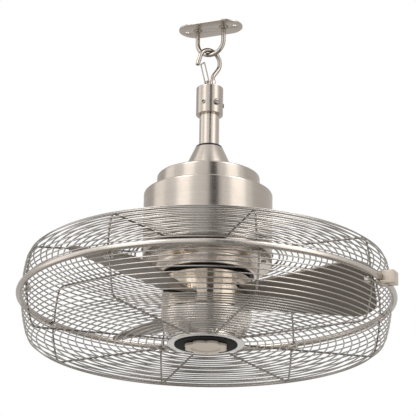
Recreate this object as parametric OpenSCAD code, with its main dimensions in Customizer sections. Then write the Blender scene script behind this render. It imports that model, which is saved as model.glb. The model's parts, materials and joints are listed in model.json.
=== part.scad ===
// Hanging outdoor fan in a welded wire guard.
// A snap hook hangs the fan from a U-bolt on an oblong ceiling plate. Below it come a
// collar, a downrod, a stepped motor housing, a turning hub with three pitched blades,
// and a round guard that opens at its hand knob.
// Millimetres. The origin is the centre of the plate's top face, +Z points up and the
// plate's long axis lies along X.

/* [Ceiling plate] */
// Overall length of the oblong plate
plate_len = 90; // [86:1:120]
// Width of the plate, which is also the diameter of its round ends
plate_w = 48; // [30:1:60]
// Thickness of the plate
plate_t = 2.5; // [1.5:0.5:4]
// Distance between the two fixing holes
screw_pitch = 70; // [64:1:76]
// Diameter of each fixing hole
screw_hole_d = 6.5; // [4:0.5:8]

/* [U-bolt] */
// Diameter of the U-bolt's wire
bolt_wire_d = 6; // [4:0.5:7]
// Distance between the centres of its two legs
bolt_span = 38; // [34:1:42]
// Straight length of each leg below the plate
bolt_leg = 18.6; // [12:0.1:30]
// Diameter of the round foot at the top of each leg
foot_d = 12; // [9:0.5:14]
// Thickness of each foot
foot_t = 2; // [1:0.5:3]

/* [Snap hook] */
// Diameter of the hook's wire
hook_wire_d = 6; // [5:0.5:6.5]
// Radius of the eye, to the middle of the wire
hook_eye_r = 16.5; // [15:0.5:18]
// Length of the straight nose past the eye
nose_len = 15.5; // [12:0.5:16]
// Distance of the shank behind the eye's middle
shank_offset = 4.6; // [4:0.1:6]
// Radius of the bend from the back of the hook into the shank
shank_bend_r = 8; // [7:0.5:10]
// Height from the middle of the wire at the top of the eye to the top of the collar
hook_drop = 55.4; // [54:0.1:62]
// Turn of the hook's plane from the U-bolt's plane
hook_turn = 58; // [50:1:90]
// Diameter of the gate's wire
gate_wire_d = 1.9; // [1.5:0.1:2.2]
// Diameter of the round base that the hook and the gate stand on
base_d = 19; // [18:0.5:22]
// Thickness of that base
base_t = 3; // [2:0.5:4]
// Outer diameter of the sleeve that stands on the base round the shank
sleeve_d = 7.6; // [7.4:0.1:9]
// Height of that sleeve above the collar
sleeve_h = 12.4; // [8:0.2:14]

/* [Collar and downrod] */
// Outer diameter of the collar
collar_d = 36.4; // [34:0.2:40]
// Height of the collar
collar_h = 40; // [36:1:48]
// Thickness of the collar's closed top
collar_top_t = 9; // [7:0.5:11]
// Outer diameter of the downrod, a standard three-quarter inch pipe
rod_d = 26.7; // [24:0.1:28]
// Wall of the downrod
rod_wall = 2.9; // [2:0.1:4]
// Length of bare rod between the collar and the gasket
rod_reveal = 44.5; // [30:0.5:80]
// Diameter of the bolt through the collar and the rod
cross_bolt_d = 6; // [5:0.5:7]
// Diameter of the two set screws
set_screw_d = 6; // [5:0.5:7]

/* [Yoke cover] */
// Thickness of the rubber gasket on the rod
gasket_t = 3; // [2:0.5:4]
// Outer diameter of the gasket
gasket_d = 37.4; // [36:0.2:40]
// Height of the conical cover
cover_h = 40.3; // [36:0.1:50]
// Outer diameter at the top of the cover
cover_top_d = 37.8; // [37:0.2:42]
// Outer diameter at the foot of the cover
cover_foot_d = 73; // [68:1:80]
// Wall of the cover
cover_wall = 1.4; // [1:0.1:2]

/* [Motor housing] */
// Diameter of the upper step
cap_d = 137.2; // [130:0.2:142]
// Height of the upper step
cap_h = 24.7; // [20:0.1:30]
// Diameter of the drum
drum_d = 171.6; // [168:0.2:180]
// Height of the drum
drum_h = 100.5; // [98:0.5:108]
// Wall of the housing's spun shells
shell_wall = 1.5; // [1:0.1:2]
// Radius of the rounded top edges
edge_r = 3; // [2:0.5:5]
// Diameter of the neck below the drum
neck_d = 132; // [130:0.5:136]
// Height of the neck
neck_h = 14; // [13:0.5:18]
// Diameter of the opening at the foot of the neck
neck_hole_d = 124; // [122:0.5:126]
// Thickness of the black seal ring
seal_t = 3.2; // [2.5:0.1:4]
// Inner diameter of the black seal ring
seal_in_d = 112; // [108:0.5:114]

/* [Motor] */
// Diameter of the fixed shaft where the bearings run
shaft_d = 17; // [15:0.5:18]
// Outer diameter of the rotor shells
rotor_d = 122; // [114:1:126]
// Height of the rotor shells together
rotor_h = 78; // [74:1:82]
// Wall of the rotor shells
rotor_wall = 5; // [4:0.5:6]
// Outer diameter of the stator core
stator_d = 104; // [96:0.5:106]
// Height of the stator core
stator_h = 26; // [20:1:30]
// Height of the copper winding
winding_h = 44; // [36:1:50]
// Outer diameter of the bearings
bearing_d = 40; // [38:1:42]
// Width of the bearings
bearing_w = 12; // [10:1:13]

/* [Hub] */
// Diameter of the hub
hub_d = 117; // [110:0.5:118]
// Height of the hub
hub_h = 49.3; // [46:0.1:54]
// Running gap between the neck and the hub
hub_gap = 1.7; // [1:0.1:3]
// Radius of the hub's rounded top edge
hub_edge_r = 6; // [3:0.5:8]
// Bore of the hub, wide of the shaft
hub_bore_d = 60; // [50:1:64]

/* [Blades] */
// Number of blades
blade_count = 3; // [3:1:3]
// Direction of the first blade from +X
blade_start = 16.4; // [0:0.1:119]
// Distance from the axis to the root of a blade, inside the hub's slot
blade_root_r = 46; // [44:0.5:48]
// Radius at the tip of a blade
blade_tip_r = 222; // [200:1:224]
// Chord at the root
blade_root_w = 54.7; // [50:0.1:58]
// Greatest chord, between the corner circles
blade_wide_w = 129; // [100:1:132]
// Radius of the two corners at the tip
blade_corner_r = 29; // [20:1:40]
// Shift of the chord's middle toward the raised edge
blade_shift = 7; // [0:0.5:9]
// Thickness of a blade
blade_t = 4; // [3:0.5:5]
// Pitch of a blade, raised on its clockwise edge
blade_pitch = 16.8; // [10:0.1:20]
// Upward tilt of a blade from root to tip
blade_rise = 3.35; // [0:0.05:4]
// Height of the blade's root above the plane of the hoop
blade_z = -1.9; // [-4:0.1:2]
// Thickness of a blade iron
iron_t = 3; // [2:0.5:4]
// Width of a blade iron
iron_w = 34; // [28:1:38]
// Length of a blade iron over its blade
iron_reach = 66; // [60:1:76]
// Room below and beside a blade in the hub's slot
slot_room = 2.2; // [1:0.1:3]

/* [Guard] */
// Diameter of the tube of the hoop round the middle
hoop_tube_d = 8.5; // [7:0.5:10]
// Diameter of the hoop, to the middle of its tube
hoop_d = 492; // [488:1:500]
// Height of the drum's foot above the hoop's plane
hoop_below_drum = 45; // [43:0.5:48]
// Height of the guard's shoulder above the hoop's plane
guard_top = 53; // [48:0.5:54]
// Rise of the guard's top from its shoulder to the middle
top_rise = 6; // [3:0.5:8]
// Depth of the guard's flat bottom below the hoop's plane
guard_bottom = 60.5; // [58:0.5:66]
// Radius of the gently bowed side, seen in section
side_r = 180; // [150:5:220]
// Radius of the shoulders between side and flats
shoulder_r = 13; // [11:0.5:16]
// Diameter of the ring wires
ring_d = 1.8; // [1.6:0.1:2.2]
// Diameter of the rib wires
rib_d = 2.5; // [2.2:0.1:3]
// Number of ribs in each half
rib_count = 8; // [8:1:8]
// Direction of the first rib from +X
rib_start = -6.4; // [-22:0.1:22]
// Turn of the guard's upper half from its lower half
upper_turn = -0.8; // [-3:0.1:3]
// Spacing of the rings round the sides
side_pitch = 6.9; // [6:0.1:9]
// Spacing of the rings on the top
top_pitch = 7.6; // [7:0.1:9]
// Spacing of the two rings that back up the innermost one
band_pitch = 5.1; // [4:0.1:6]
// Spacing of the rings on the flat bottom
bottom_pitch = 10.2; // [8:0.1:12]
// Gap from the drum to the middle of the innermost ring's wire
ring_gap = 9.7; // [8:0.1:14]
// Diameter of that ring's wire
inner_wire_d = 2.8; // [2.4:0.1:3.4]

/* [Guard fittings] */
// Length of each rib clip along the hoop
clip_len = 13; // [10:0.5:15]
// Height of each rib clip
clip_h = 5; // [4:0.5:6]
// Depth of each rib clip, toward the middle of the fan
clip_depth = 7; // [5:0.5:10]
// Width of each bracket between drum and guard
bracket_w = 14; // [12:1:18]
// Thickness of each bracket
bracket_t = 2; // [1.5:0.1:2.5]
// Direction of the hoop's clamp from +X
clamp_angle = -1.6; // [-1.8:0.1:-1]
// Length of the clamp along the hoop
clamp_len = 18; // [16:0.5:20]
// Depth of the clamp, outward from inside the hoop
clamp_depth = 24; // [20:0.5:28]
// Height of the clamp
clamp_h = 17; // [15:0.5:20]

/* [Lower cup and knob] */
// Gap between the turning hub and the fixed cup
cup_gap = 1.5; // [1:0.1:3]
// Diameter of the cup at its rim
cup_top_d = 120; // [116:0.5:122]
// Diameter of the cup at its foot
cup_foot_d = 84; // [80:1:88]
// Wall of the cup
cup_wall = 2.2; // [1.5:0.1:3]
// Diameter of the guard's centre plate
centre_d = 102; // [98:1:106]
// Thickness of the centre plate
centre_t = 2; // [1.5:0.1:2.5]
// Diameter of the black washer's face
washer_d = 83; // [80:0.5:86]
// Thickness of the washer's face below the plate
washer_t = 1.2; // [1:0.1:2]
// Greatest diameter of the lobed knob
knob_d = 57.4; // [54:0.2:62]
// Height of the knob
knob_h = 5; // [4:0.5:7]
// Number of lobes on the knob
knob_lobes = 8; // [5:1:10]
// Diameter of the threaded stud that the knob turns on
stud_d = 10; // [8:0.5:12]

/* [Hidden] */

// Clearances
fit = 0.1;          // between pieces that are clamped or pushed together
run = 0.05;         // radial, round a pin or shaft that turns
weld = 0.05;        // between wires that are welded where they cross
link_gap = 0.3;     // between pieces that touch and move on each other
move_gap = 0.4;     // between pieces that pass each other

// Smoothness
fine = 96;
wire_fine = 20;

// How far a cutting shape runs past the piece, and how much thicker a joining bead is
cut = 1;
seam = 0.04;

// Heights down the middle, from the ceiling
z_plate = -plate_t;
z_bolt = z_plate - bolt_leg - bolt_span / 2;
z_hook = z_bolt + (bolt_wire_d + hook_wire_d) / 2 + link_gap;
z_collar = z_hook - hook_drop;
z_collar_foot = z_collar - collar_h;
z_gasket = z_collar_foot - rod_reveal;
z_cover = z_gasket - gasket_t;
z_cap = z_cover - cover_h;
z_drum = z_cap - cap_h;
z_neck = z_drum - drum_h;
z_neck_foot = z_neck - neck_h;
z_hub = z_neck_foot - hub_gap;
z_hub_foot = z_hub - hub_h;
z_hoop = z_neck - hoop_below_drum;
z_cup = z_hub_foot - cup_gap;

// Guard section: the bowed side and the shoulders are arcs that run into each other
wire_step = (ring_d + rib_d) / 2 + weld;
rib_r = (hoop_d - hoop_tube_d - rib_d) / 2 - weld;
ring_r = rib_r + wire_step;
side_x = ring_r - side_r;
function side_angle(h) = asin((h - shoulder_r) / (side_r - shoulder_r));
function shoulder_x(h) = side_x + (side_r - shoulder_r) * cos(side_angle(h));
function side_len(h) = side_r * side_angle(h) * PI / 180;
function shoulder_len(h) = shoulder_r * (90 - side_angle(h)) * PI / 180;
// Radius and height of the ring at distance s along the section from the hoop's plane
function ring_at(s, h) =
    s < side_len(h)
        ? let(a = s / side_r * 180 / PI) [side_x + side_r * cos(a), side_r * sin(a)]
        : let(a = side_angle(h) + (s - side_len(h)) / shoulder_r * 180 / PI)
            [shoulder_x(h) + shoulder_r * cos(a), h - shoulder_r + shoulder_r * sin(a)];
function side_ring_count(h) =
    floor((side_len(h) + shoulder_len(h) - first_ring) / side_pitch) + 1;
first_ring = 8.4;

// Lower centre of the guard
z_rib_low = z_hoop - guard_bottom + wire_step;
z_centre = z_rib_low - rib_d / 2 - weld;
z_centre_foot = z_centre - centre_t;
z_washer_foot = z_centre_foot - washer_t;
cup_foot_z = z_centre + fit;

// Motor heights
rotor_lift = 4;
z_rotor = z_neck + rotor_h + rotor_lift;
z_rotor_mid = z_rotor - rotor_h * 0.45;
z_rotor_foot = z_rotor - rotor_h;
z_stator = z_rotor - rotor_h / 2 + stator_h / 2;
coupling_d = 34;
coupling_base_t = 8;
coupling_rise = 26;
shaft_socket = 6;
shaft_stop = 4;
rod_pin_d = 5;
rod_pin_drop = 8;
cross_bolt_drop = 25;
z_coupling = z_cap + coupling_rise;
z_shaft = z_cap - shaft_socket;
z_shaft_foot = z_hub_foot + shaft_stop;
rod_pin_z = z_coupling - rod_pin_drop;
cross_bolt_z = z_collar - cross_bolt_drop;

// Directions round the collar
set_screw_angles = [-94.6, 25.4];
cross_bolt_angle = -35.6;

bracket_back = 3.5;
blade_angles = [for (i = [0 : blade_count - 1]) blade_start + i * 360 / blade_count];
rib_angles = [for (i = [0 : rib_count - 1]) rib_start + i * 360 / rib_count];
bracket_angles = [for (i = [0 : 2 : rib_count - 1]) rib_angles[i] - bracket_back];

// Shared shapes

// Half section of a disc with rounded outer edges, from z0 up to z1
module disc_section(r, z0, z1, top_r = 0, foot_r = 0) {
    translate([0, z0 + foot_r]) square([r, z1 - z0 - top_r - foot_r]);
    if (top_r > 0) {
        translate([0, z1 - top_r]) square([r - top_r, top_r]);
        translate([r - top_r, z1 - top_r]) intersection() {
            circle(r = top_r, $fn = fine);
            square(top_r);
        }
    }
    if (foot_r > 0) {
        translate([0, z0]) square([r - foot_r, foot_r]);
        translate([r - foot_r, z0 + foot_r]) intersection() {
            circle(r = foot_r, $fn = fine);
            translate([0, -foot_r]) square(foot_r);
        }
    }
}

// A ring or washer between two heights
module ring(d, bore, z0, z1) {
    translate([0, 0, z0]) difference() {
        cylinder(d = d, h = z1 - z0, $fn = fine);
        translate([0, 0, -cut]) cylinder(d = bore, h = z1 - z0 + 2 * cut, $fn = fine);
    }
}

// One closed wire ring
module wire_ring(r, z, d) {
    translate([0, 0, z]) rotate_extrude($fn = fine)
        translate([r, 0]) circle(d = d, $fn = wire_fine);
}

// An arc of wire in the XZ plane about the origin, from angle a0 to a1
module wire_arc(r, d, a0, a1) {
    rotate([90, 0, 0]) rotate([0, 0, a0])
        rotate_extrude(angle = a1 - a0, $fn = fine)
            translate([r, 0]) circle(d = d, $fn = wire_fine);
}

// Closes the seam where one length of wire runs into the next
module bead(d) {
    sphere(d = d + seam, $fn = 40);
}

// A pan-head screw along +X, with the underside of its head at the origin
module screw_x(d, len, head_d, head_t, slot = 0) {
    difference() {
        rotate([0, 90, 0]) cylinder(d = head_d, h = head_t, $fn = 32);
        if (slot > 0)
            translate([head_t * 0.5, -slot / 2, -head_d]) cube([head_t, slot, head_d * 2]);
    }
    translate([-len, 0, 0]) rotate([0, 90, 0]) cylinder(d = d, h = len, $fn = 32);
}

// A hexagonal nut with its bore, standing on the origin
module nut(across, bore, h) {
    difference() {
        cylinder(d = across / cos(30), h = h, $fn = 6);
        translate([0, 0, -cut]) cylinder(d = bore, h = h + 2 * cut, $fn = 32);
    }
}

// Ceiling plate and U-bolt

module stadium(len, w, h) {
    side = len - w;
    translate([-side / 2, -w / 2, 0]) cube([side, w, h]);
    for (s = [-1, 1])
        translate([s * side / 2, 0, 0]) cylinder(d = w, h = h, $fn = fine);
}

module ceiling_plate() {
    color([0.70, 0.66, 0.62]) difference() {
        translate([0, 0, z_plate]) stadium(plate_len, plate_w, plate_t);
        for (s = [-1, 1]) {
            translate([s * screw_pitch / 2, 0, z_plate - cut])
                cylinder(d = screw_hole_d, h = plate_t + 2 * cut, $fn = 48);
            translate([s * bolt_span / 2, 0, z_plate - cut])
                cylinder(d = bolt_wire_d + 2 * fit, h = plate_t + 2 * cut, $fn = 48);
        }
    }
}

module u_bolt() {
    color([0.74, 0.70, 0.66]) {
        for (s = [-1, 1])
            translate([s * bolt_span / 2, 0, z_plate - bolt_leg])
                cylinder(d = bolt_wire_d, h = bolt_leg + plate_t - fit, $fn = 40);
        translate([0, 0, z_plate - bolt_leg])
            wire_arc(bolt_span / 2, bolt_wire_d, 180, 360);
    }
}

module u_bolt_feet() {
    color([0.72, 0.68, 0.64])
        for (s = [-1, 1])
            translate([s * bolt_span / 2, 0, 0]) rotate_extrude($fn = 48) difference() {
                disc_section(foot_d / 2, z_plate - fit / 2 - foot_t, z_plate - fit / 2, 0, foot_t / 2);
                translate([0, z_plate - foot_t - cut]) square([bolt_wire_d / 2 + fit, foot_t + 2 * cut]);
            }
}

// Snap hook, drawn in its own plane: X runs from the nose to the back

// Where the eye's arc ends on the nose side and on the back
nose_end = 163;
back_end = -35;
eye_x = -0.8;
nose_start = [
    eye_x + hook_eye_r * cos(nose_end),
    -hook_eye_r + hook_eye_r * sin(nose_end)
];
back_start = [
    eye_x + hook_eye_r * cos(back_end),
    -hook_eye_r + hook_eye_r * sin(back_end)
];
back_len = (back_start[0] - shank_offset - shank_bend_r * (1 - cos(back_end))) / sin(-back_end);
bend_top = back_start[1] - back_len * cos(back_end);
shank_top = bend_top - shank_bend_r * sin(-back_end);
nut_h = 5;
nut_across = 10;
shank_past_nut = 2;
shank_foot = -hook_drop - collar_top_t - nut_h - shank_past_nut;
gate_pin_x = -4.6;
gate_pin_rise = 4.4;
gate_pin_z = -hook_drop + base_t + gate_pin_rise;
gate_top_z = -22;
// Half of the room between the two ends of its wire
gate_end_room = 0.6;
// The closed gate stops this far short of the nose
gate_slack = 3;
nose_x = nose_start[0] + (gate_top_z - nose_start[1]) * tan(180 - nose_end);
gate_top_x = nose_x + ((hook_wire_d + gate_wire_d) / 2 + gate_slack) / cos(180 - nose_end);
gate_half = hook_wire_d / 2 + gate_wire_d / 2 + move_gap;
tongue_half = gate_half - gate_wire_d / 2 - link_gap;
tongue_w = 5.2;
tongue_past_pin = 1.8;

module hook_frame() {
    translate([0, 0, z_hook]) rotate([0, 0, hook_turn]) children();
}

module snap_hook() {
    color([0.72, 0.68, 0.63]) hook_frame() {
        translate([eye_x, 0, -hook_eye_r])
            wire_arc(hook_eye_r, hook_wire_d, back_end, nose_end);
        translate([nose_start[0], 0, nose_start[1]]) rotate([0, -nose_end, 0]) {
            cylinder(d = hook_wire_d, h = nose_len, $fn = 40);
            bead(hook_wire_d);
        }
        translate([back_start[0], 0, back_start[1]]) rotate([0, 180 - back_end, 0]) {
            cylinder(d = hook_wire_d, h = back_len, $fn = 40);
            bead(hook_wire_d);
            translate([0, 0, back_len]) bead(hook_wire_d);
        }
        translate([shank_offset + shank_bend_r, 0, shank_top])
            wire_arc(shank_bend_r, hook_wire_d, 180 + back_end, 180);
        translate([shank_offset, 0, shank_foot])
            cylinder(d = hook_wire_d, h = shank_top - shank_foot, $fn = 40);
        translate([shank_offset, 0, shank_top]) bead(hook_wire_d);
    }
}

// Round base on the collar, with the tongue that carries the gate's pin ends
module hook_base() {
    color([0.66, 0.62, 0.58]) hook_frame() difference() {
        union() {
            translate([0, 0, -hook_drop + fit]) cylinder(d = base_d, h = base_t, $fn = 64);
            translate([shank_offset, 0, -hook_drop + fit])
                cylinder(d = sleeve_d, h = sleeve_h - fit, $fn = 48);
            translate([gate_pin_x - tongue_w / 2, -tongue_half, -hook_drop + fit])
                cube([tongue_w, 2 * tongue_half, gate_pin_z + tongue_past_pin + hook_drop - fit]);
        }
        translate([shank_offset, 0, -hook_drop - cut])
            cylinder(d = hook_wire_d + 2 * fit, h = sleeve_h + 2 * cut, $fn = 40);
        translate([gate_pin_x, tongue_half + cut, gate_pin_z]) rotate([90, 0, 0])
            cylinder(d = gate_wire_d + 2 * run, h = 2 * tongue_half + 2 * cut, $fn = 32);
    }
}

module hook_nut() {
    color([0.60, 0.58, 0.55]) hook_frame()
        translate([shank_offset, 0, -hook_drop - collar_top_t - nut_h - fit])
            nut(nut_across, hook_wire_d + 2 * fit, nut_h);
}

// A bent wire: two legs, a cross bar at the top and two ends turned into the tongue
module hook_gate() {
    dx = gate_top_x - gate_pin_x;
    dz = gate_top_z - gate_pin_z;
    len = norm([dx, dz]);
    lean = atan2(dx, dz);
    color([0.80, 0.77, 0.73]) hook_frame() translate([gate_pin_x, 0, gate_pin_z])
        rotate([0, lean, 0]) {
            for (s = [-1, 1]) {
                translate([0, s * gate_half, 0]) {
                    cylinder(d = gate_wire_d, h = len, $fn = wire_fine);
                    sphere(d = gate_wire_d, $fn = wire_fine);
                }
                translate([0, s * gate_half, 0]) rotate([s * 90, 0, 0])
                    cylinder(d = gate_wire_d, h = gate_half - gate_end_room, $fn = wire_fine);
                translate([0, s * gate_half, len]) sphere(d = gate_wire_d, $fn = wire_fine);
            }
            translate([0, gate_half, len]) rotate([90, 0, 0])
                cylinder(d = gate_wire_d, h = 2 * gate_half, $fn = wire_fine);
        }
}

// Collar and downrod

collar_edge = 1.5;
rod_below_nut = 4;
rod_above_cap = 3;
z_rod = z_collar - collar_top_t - nut_h - rod_below_nut;
z_rod_foot = z_cap + rod_above_cap;
cross_head_d = 9;
cross_head_t = 3;
cross_slot = 1.4;
cross_bolt_past = 6;
cross_nut_h = 4;
set_screw_out = 1;
set_socket_d = 3.2;
set_socket_depth = 2;

module collar() {
    color([0.78, 0.74, 0.70]) difference() {
        rotate_extrude($fn = fine)
            disc_section(collar_d / 2, z_collar_foot, z_collar, collar_edge, collar_edge);
        translate([0, 0, z_collar_foot - cut])
            cylinder(d = rod_d + 2 * fit, h = collar_h - collar_top_t + cut, $fn = fine);
        hook_frame() translate([shank_offset, 0, -hook_drop - collar_top_t - cut])
            cylinder(d = hook_wire_d + 2 * fit, h = collar_top_t + 2 * cut, $fn = 40);
        rotate([0, 0, cross_bolt_angle]) translate([-collar_d, 0, cross_bolt_z])
            rotate([0, 90, 0]) cylinder(d = cross_bolt_d + 2 * fit, h = collar_d * 2, $fn = 40);
        for (a = set_screw_angles)
            rotate([0, 0, a]) translate([0, 0, cross_bolt_z]) rotate([0, 90, 0])
                cylinder(d = set_screw_d + 2 * fit, h = collar_d, $fn = 40);
    }
}

module collar_bolt() {
    color([0.74, 0.70, 0.66]) rotate([0, 0, cross_bolt_angle])
        translate([collar_d / 2 + fit, 0, cross_bolt_z])
            screw_x(cross_bolt_d, collar_d + cross_bolt_past, cross_head_d, cross_head_t, cross_slot);
}

module collar_bolt_nut() {
    color([0.60, 0.58, 0.55]) rotate([0, 0, cross_bolt_angle + 180])
        translate([collar_d / 2 + fit, 0, cross_bolt_z]) rotate([0, 90, 0])
            nut(nut_across, cross_bolt_d + 2 * fit, cross_nut_h);
}

module collar_set_screws() {
    color([0.30, 0.28, 0.27])
        for (a = set_screw_angles)
            rotate([0, 0, a]) translate([rod_d / 2 + fit, 0, cross_bolt_z]) rotate([0, 90, 0])
                difference() {
                    cylinder(d = set_screw_d, h = (collar_d - rod_d) / 2 + set_screw_out, $fn = 32);
                    translate([0, 0, (collar_d - rod_d) / 2 + set_screw_out - set_socket_depth])
                        cylinder(d = set_socket_d, h = set_socket_depth + 2 * cut, $fn = 6);
                }
}

module downrod() {
    color([0.80, 0.76, 0.72]) difference() {
        translate([0, 0, z_rod_foot]) cylinder(d = rod_d, h = z_rod - z_rod_foot, $fn = fine);
        translate([0, 0, z_rod_foot - cut])
            cylinder(d = rod_d - 2 * rod_wall, h = z_rod - z_rod_foot + 2 * cut, $fn = fine);
        rotate([0, 0, cross_bolt_angle]) translate([-collar_d, 0, cross_bolt_z])
            rotate([0, 90, 0]) cylinder(d = cross_bolt_d + 2 * fit, h = collar_d * 2, $fn = 40);
        translate([-coupling_d, 0, rod_pin_z]) rotate([0, 90, 0])
            cylinder(d = rod_pin_d + 2 * fit, h = coupling_d * 2, $fn = 40);
    }
}

// Yoke cover, gasket and the coupling below it

gasket_edge = 1;
cover_top_t = 2;
cover_level_wall = cover_wall * 1.3;    // the sloping wall, measured level
rod_pin_past = 0.8;

module rod_gasket() {
    color([0.10, 0.10, 0.10]) rotate_extrude($fn = fine) difference() {
        disc_section(gasket_d / 2, z_cover + fit, z_gasket, gasket_edge, 0);
        translate([0, z_cover - cut]) square([rod_d / 2 + fit, gasket_t + 2 * cut]);
    }
}

module yoke_cover() {
    top_r = cover_top_d / 2;
    foot_r = cover_foot_d / 2;
    color([0.72, 0.69, 0.65]) rotate_extrude($fn = fine) polygon([
        [rod_d / 2 + fit, z_cover],
        [top_r, z_cover],
        [foot_r, z_cap + fit],
        [foot_r - cover_level_wall, z_cap + fit],
        [top_r - cover_level_wall, z_cover - cover_top_t],
        [rod_d / 2 + fit, z_cover - cover_top_t]
    ]);
}

module rod_coupling() {
    color([0.45, 0.44, 0.43]) difference() {
        translate([0, 0, z_cap - coupling_base_t])
            cylinder(d = coupling_d, h = z_coupling - z_cap + coupling_base_t, $fn = 64);
        translate([0, 0, z_rod_foot - fit])
            cylinder(d = rod_d + 2 * fit, h = z_coupling - z_rod_foot + 2 * cut, $fn = 64);
        translate([0, 0, z_cap - coupling_base_t - cut])
            cylinder(d = shaft_d + 2 * fit, h = z_shaft - z_cap + coupling_base_t + 1 + fit, $fn = 64);
        translate([-coupling_d, 0, rod_pin_z]) rotate([0, 90, 0])
            cylinder(d = rod_pin_d + 2 * fit, h = coupling_d * 2, $fn = 40);
    }
}

module coupling_pin() {
    color([0.62, 0.60, 0.57]) translate([-coupling_d / 2 - rod_pin_past, 0, rod_pin_z])
        rotate([0, 90, 0]) cylinder(d = rod_pin_d, h = coupling_d + 2 * rod_pin_past, $fn = 32);
}

// Motor housing

side_screw_up = 20;
side_screw_z = z_neck + side_screw_up;
side_screw_angles = [for (i = [0 : 3]) i * 90 - 61.1];
floor_screw_in = 6.8;
floor_screw_r = drum_d / 2 - floor_screw_in;
floor_screw_angles = [for (i = [0 : 3]) i * 90 - 87];

module upper_housing() {
    color([0.76, 0.72, 0.68]) rotate_extrude($fn = fine) difference() {
        disc_section(cap_d / 2, z_drum + fit, z_cap, edge_r, 0);
        disc_section(cap_d / 2 - shell_wall, z_drum - cut, z_cap - shell_wall, edge_r - shell_wall, 0);
        translate([0, z_drum]) square([coupling_d / 2 + fit, cap_h + cut]);
    }
}

module drum_housing() {
    color([0.78, 0.74, 0.70]) difference() {
        rotate_extrude($fn = fine) difference() {
            disc_section(drum_d / 2, z_neck, z_drum, edge_r, 0);
            disc_section(drum_d / 2 - shell_wall, z_neck - cut, z_drum - shell_wall,
                edge_r - shell_wall, 0);
            translate([0, z_drum - 2 * edge_r]) square([coupling_d / 2 + fit, 3 * edge_r]);
        }
        for (a = side_screw_angles)
            rotate([0, 0, a]) translate([0, 0, side_screw_z]) rotate([0, 90, 0])
                cylinder(d = bracket_screw_d + 2 * fit, h = drum_d, $fn = 32);
        for (a = bracket_angles)
            rotate([0, 0, a]) translate([0, 0, bracket_hole_z]) rotate([0, 90, 0])
                cylinder(d = bracket_screw_d + 2 * fit, h = drum_d, $fn = 32);
    }
}

// Floor of the drum and the neck below it, one pressed piece
module motor_neck() {
    color([0.74, 0.70, 0.66]) difference() {
        rotate_extrude($fn = fine) {
            translate([neck_d / 2 - shell_wall, z_neck + fit])
                square([(drum_d - neck_d) / 2 - fit, shell_wall]);
            translate([neck_d / 2 - shell_wall, z_neck_foot])
                square([shell_wall, neck_h + fit + shell_wall / 2]);
            translate([neck_hole_d / 2, z_neck_foot])
                square([(neck_d - neck_hole_d) / 2, shell_wall]);
        }
        for (a = floor_screw_angles)
            rotate([0, 0, a]) translate([floor_screw_r, 0, z_neck - cut])
                cylinder(d = bracket_screw_d + 2 * fit, h = shell_wall + 2 * cut, $fn = 32);
    }
}

module seal_ring() {
    color([0.08, 0.08, 0.08]) rotate_extrude($fn = fine) {
        seat = z_neck_foot + shell_wall + fit;
        translate([seal_in_d / 2, seat]) square([(neck_d - seal_in_d) / 2 - shell_wall - fit, seal_t]);
        translate([seal_in_d / 2, z_neck_foot])
            square([(neck_hole_d - seal_in_d) / 2 - fit, shell_wall + fit]);
    }
}

// Motor: the shaft and stator stand still, and the shells turn with the hub

stud_past_knob = 1;
stator_slots = 12;
stator_slot_d = 11;
stator_slot_in = 4;
rotor_boss_d = 92;
shaft_room = 2;

module motor_shaft() {
    color([0.55, 0.54, 0.53]) {
        translate([0, 0, z_shaft_foot]) cylinder(d = shaft_d, h = z_shaft - z_shaft_foot, $fn = 64);
        translate([0, 0, z_washer_foot - knob_h - stud_past_knob])
            cylinder(d = stud_d, h = z_shaft_foot - z_washer_foot + knob_h + stud_past_knob, $fn = 48);
    }
}

module stator_core() {
    color([0.35, 0.35, 0.37]) difference() {
        translate([0, 0, z_stator - stator_h]) cylinder(d = stator_d, h = stator_h, $fn = fine);
        translate([0, 0, z_stator - stator_h - cut])
            cylinder(d = shaft_d + 2 * fit, h = stator_h + 2 * cut, $fn = 64);
        for (i = [0 : stator_slots - 1])
            rotate([0, 0, i * 360 / stator_slots])
                translate([stator_d / 2 - stator_slot_in, 0, z_stator - stator_h - cut])
                    cylinder(d = stator_slot_d, h = stator_h + 2 * cut, $fn = 24);
    }
}

// Winding heads above and below the core
winding_in = 10;
winding_edge_r = 2;

module stator_winding() {
    head = (winding_h - stator_h) / 2;
    width = stator_d / 2 - shaft_d / 2 - 2 * winding_in;
    color([0.72, 0.42, 0.22])
        for (z = [z_stator + fit, z_stator - stator_h - head - fit])
            translate([0, 0, z]) rotate_extrude($fn = fine) translate([shaft_d / 2 + winding_in, 0])
                disc_section(width, 0, head, winding_edge_r, winding_edge_r);
}

bell_r = rotor_d / 2;
bell_in = bell_r - rotor_wall;
bell_edge_r = 4;
bearing_boss = 5;

module rotor_upper_shell() {
    color([0.50, 0.50, 0.50]) rotate_extrude($fn = fine) difference() {
        union() {
            difference() {
                disc_section(bell_r, z_rotor_mid + fit, z_rotor, bell_edge_r, 0);
                translate([0, z_rotor_mid - cut]) square([bell_in, z_rotor - z_rotor_mid + 1 - rotor_wall]);
            }
            // The boss round the bearing runs up into the shell's top
            translate([0, z_rotor - bearing_w])
                square([bearing_d / 2 + bearing_boss, bearing_w - rotor_wall / 2]);
        }
        translate([0, z_rotor - bearing_w - cut]) square([bearing_d / 2 + run, bearing_w + 2 * cut]);
    }
}

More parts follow.
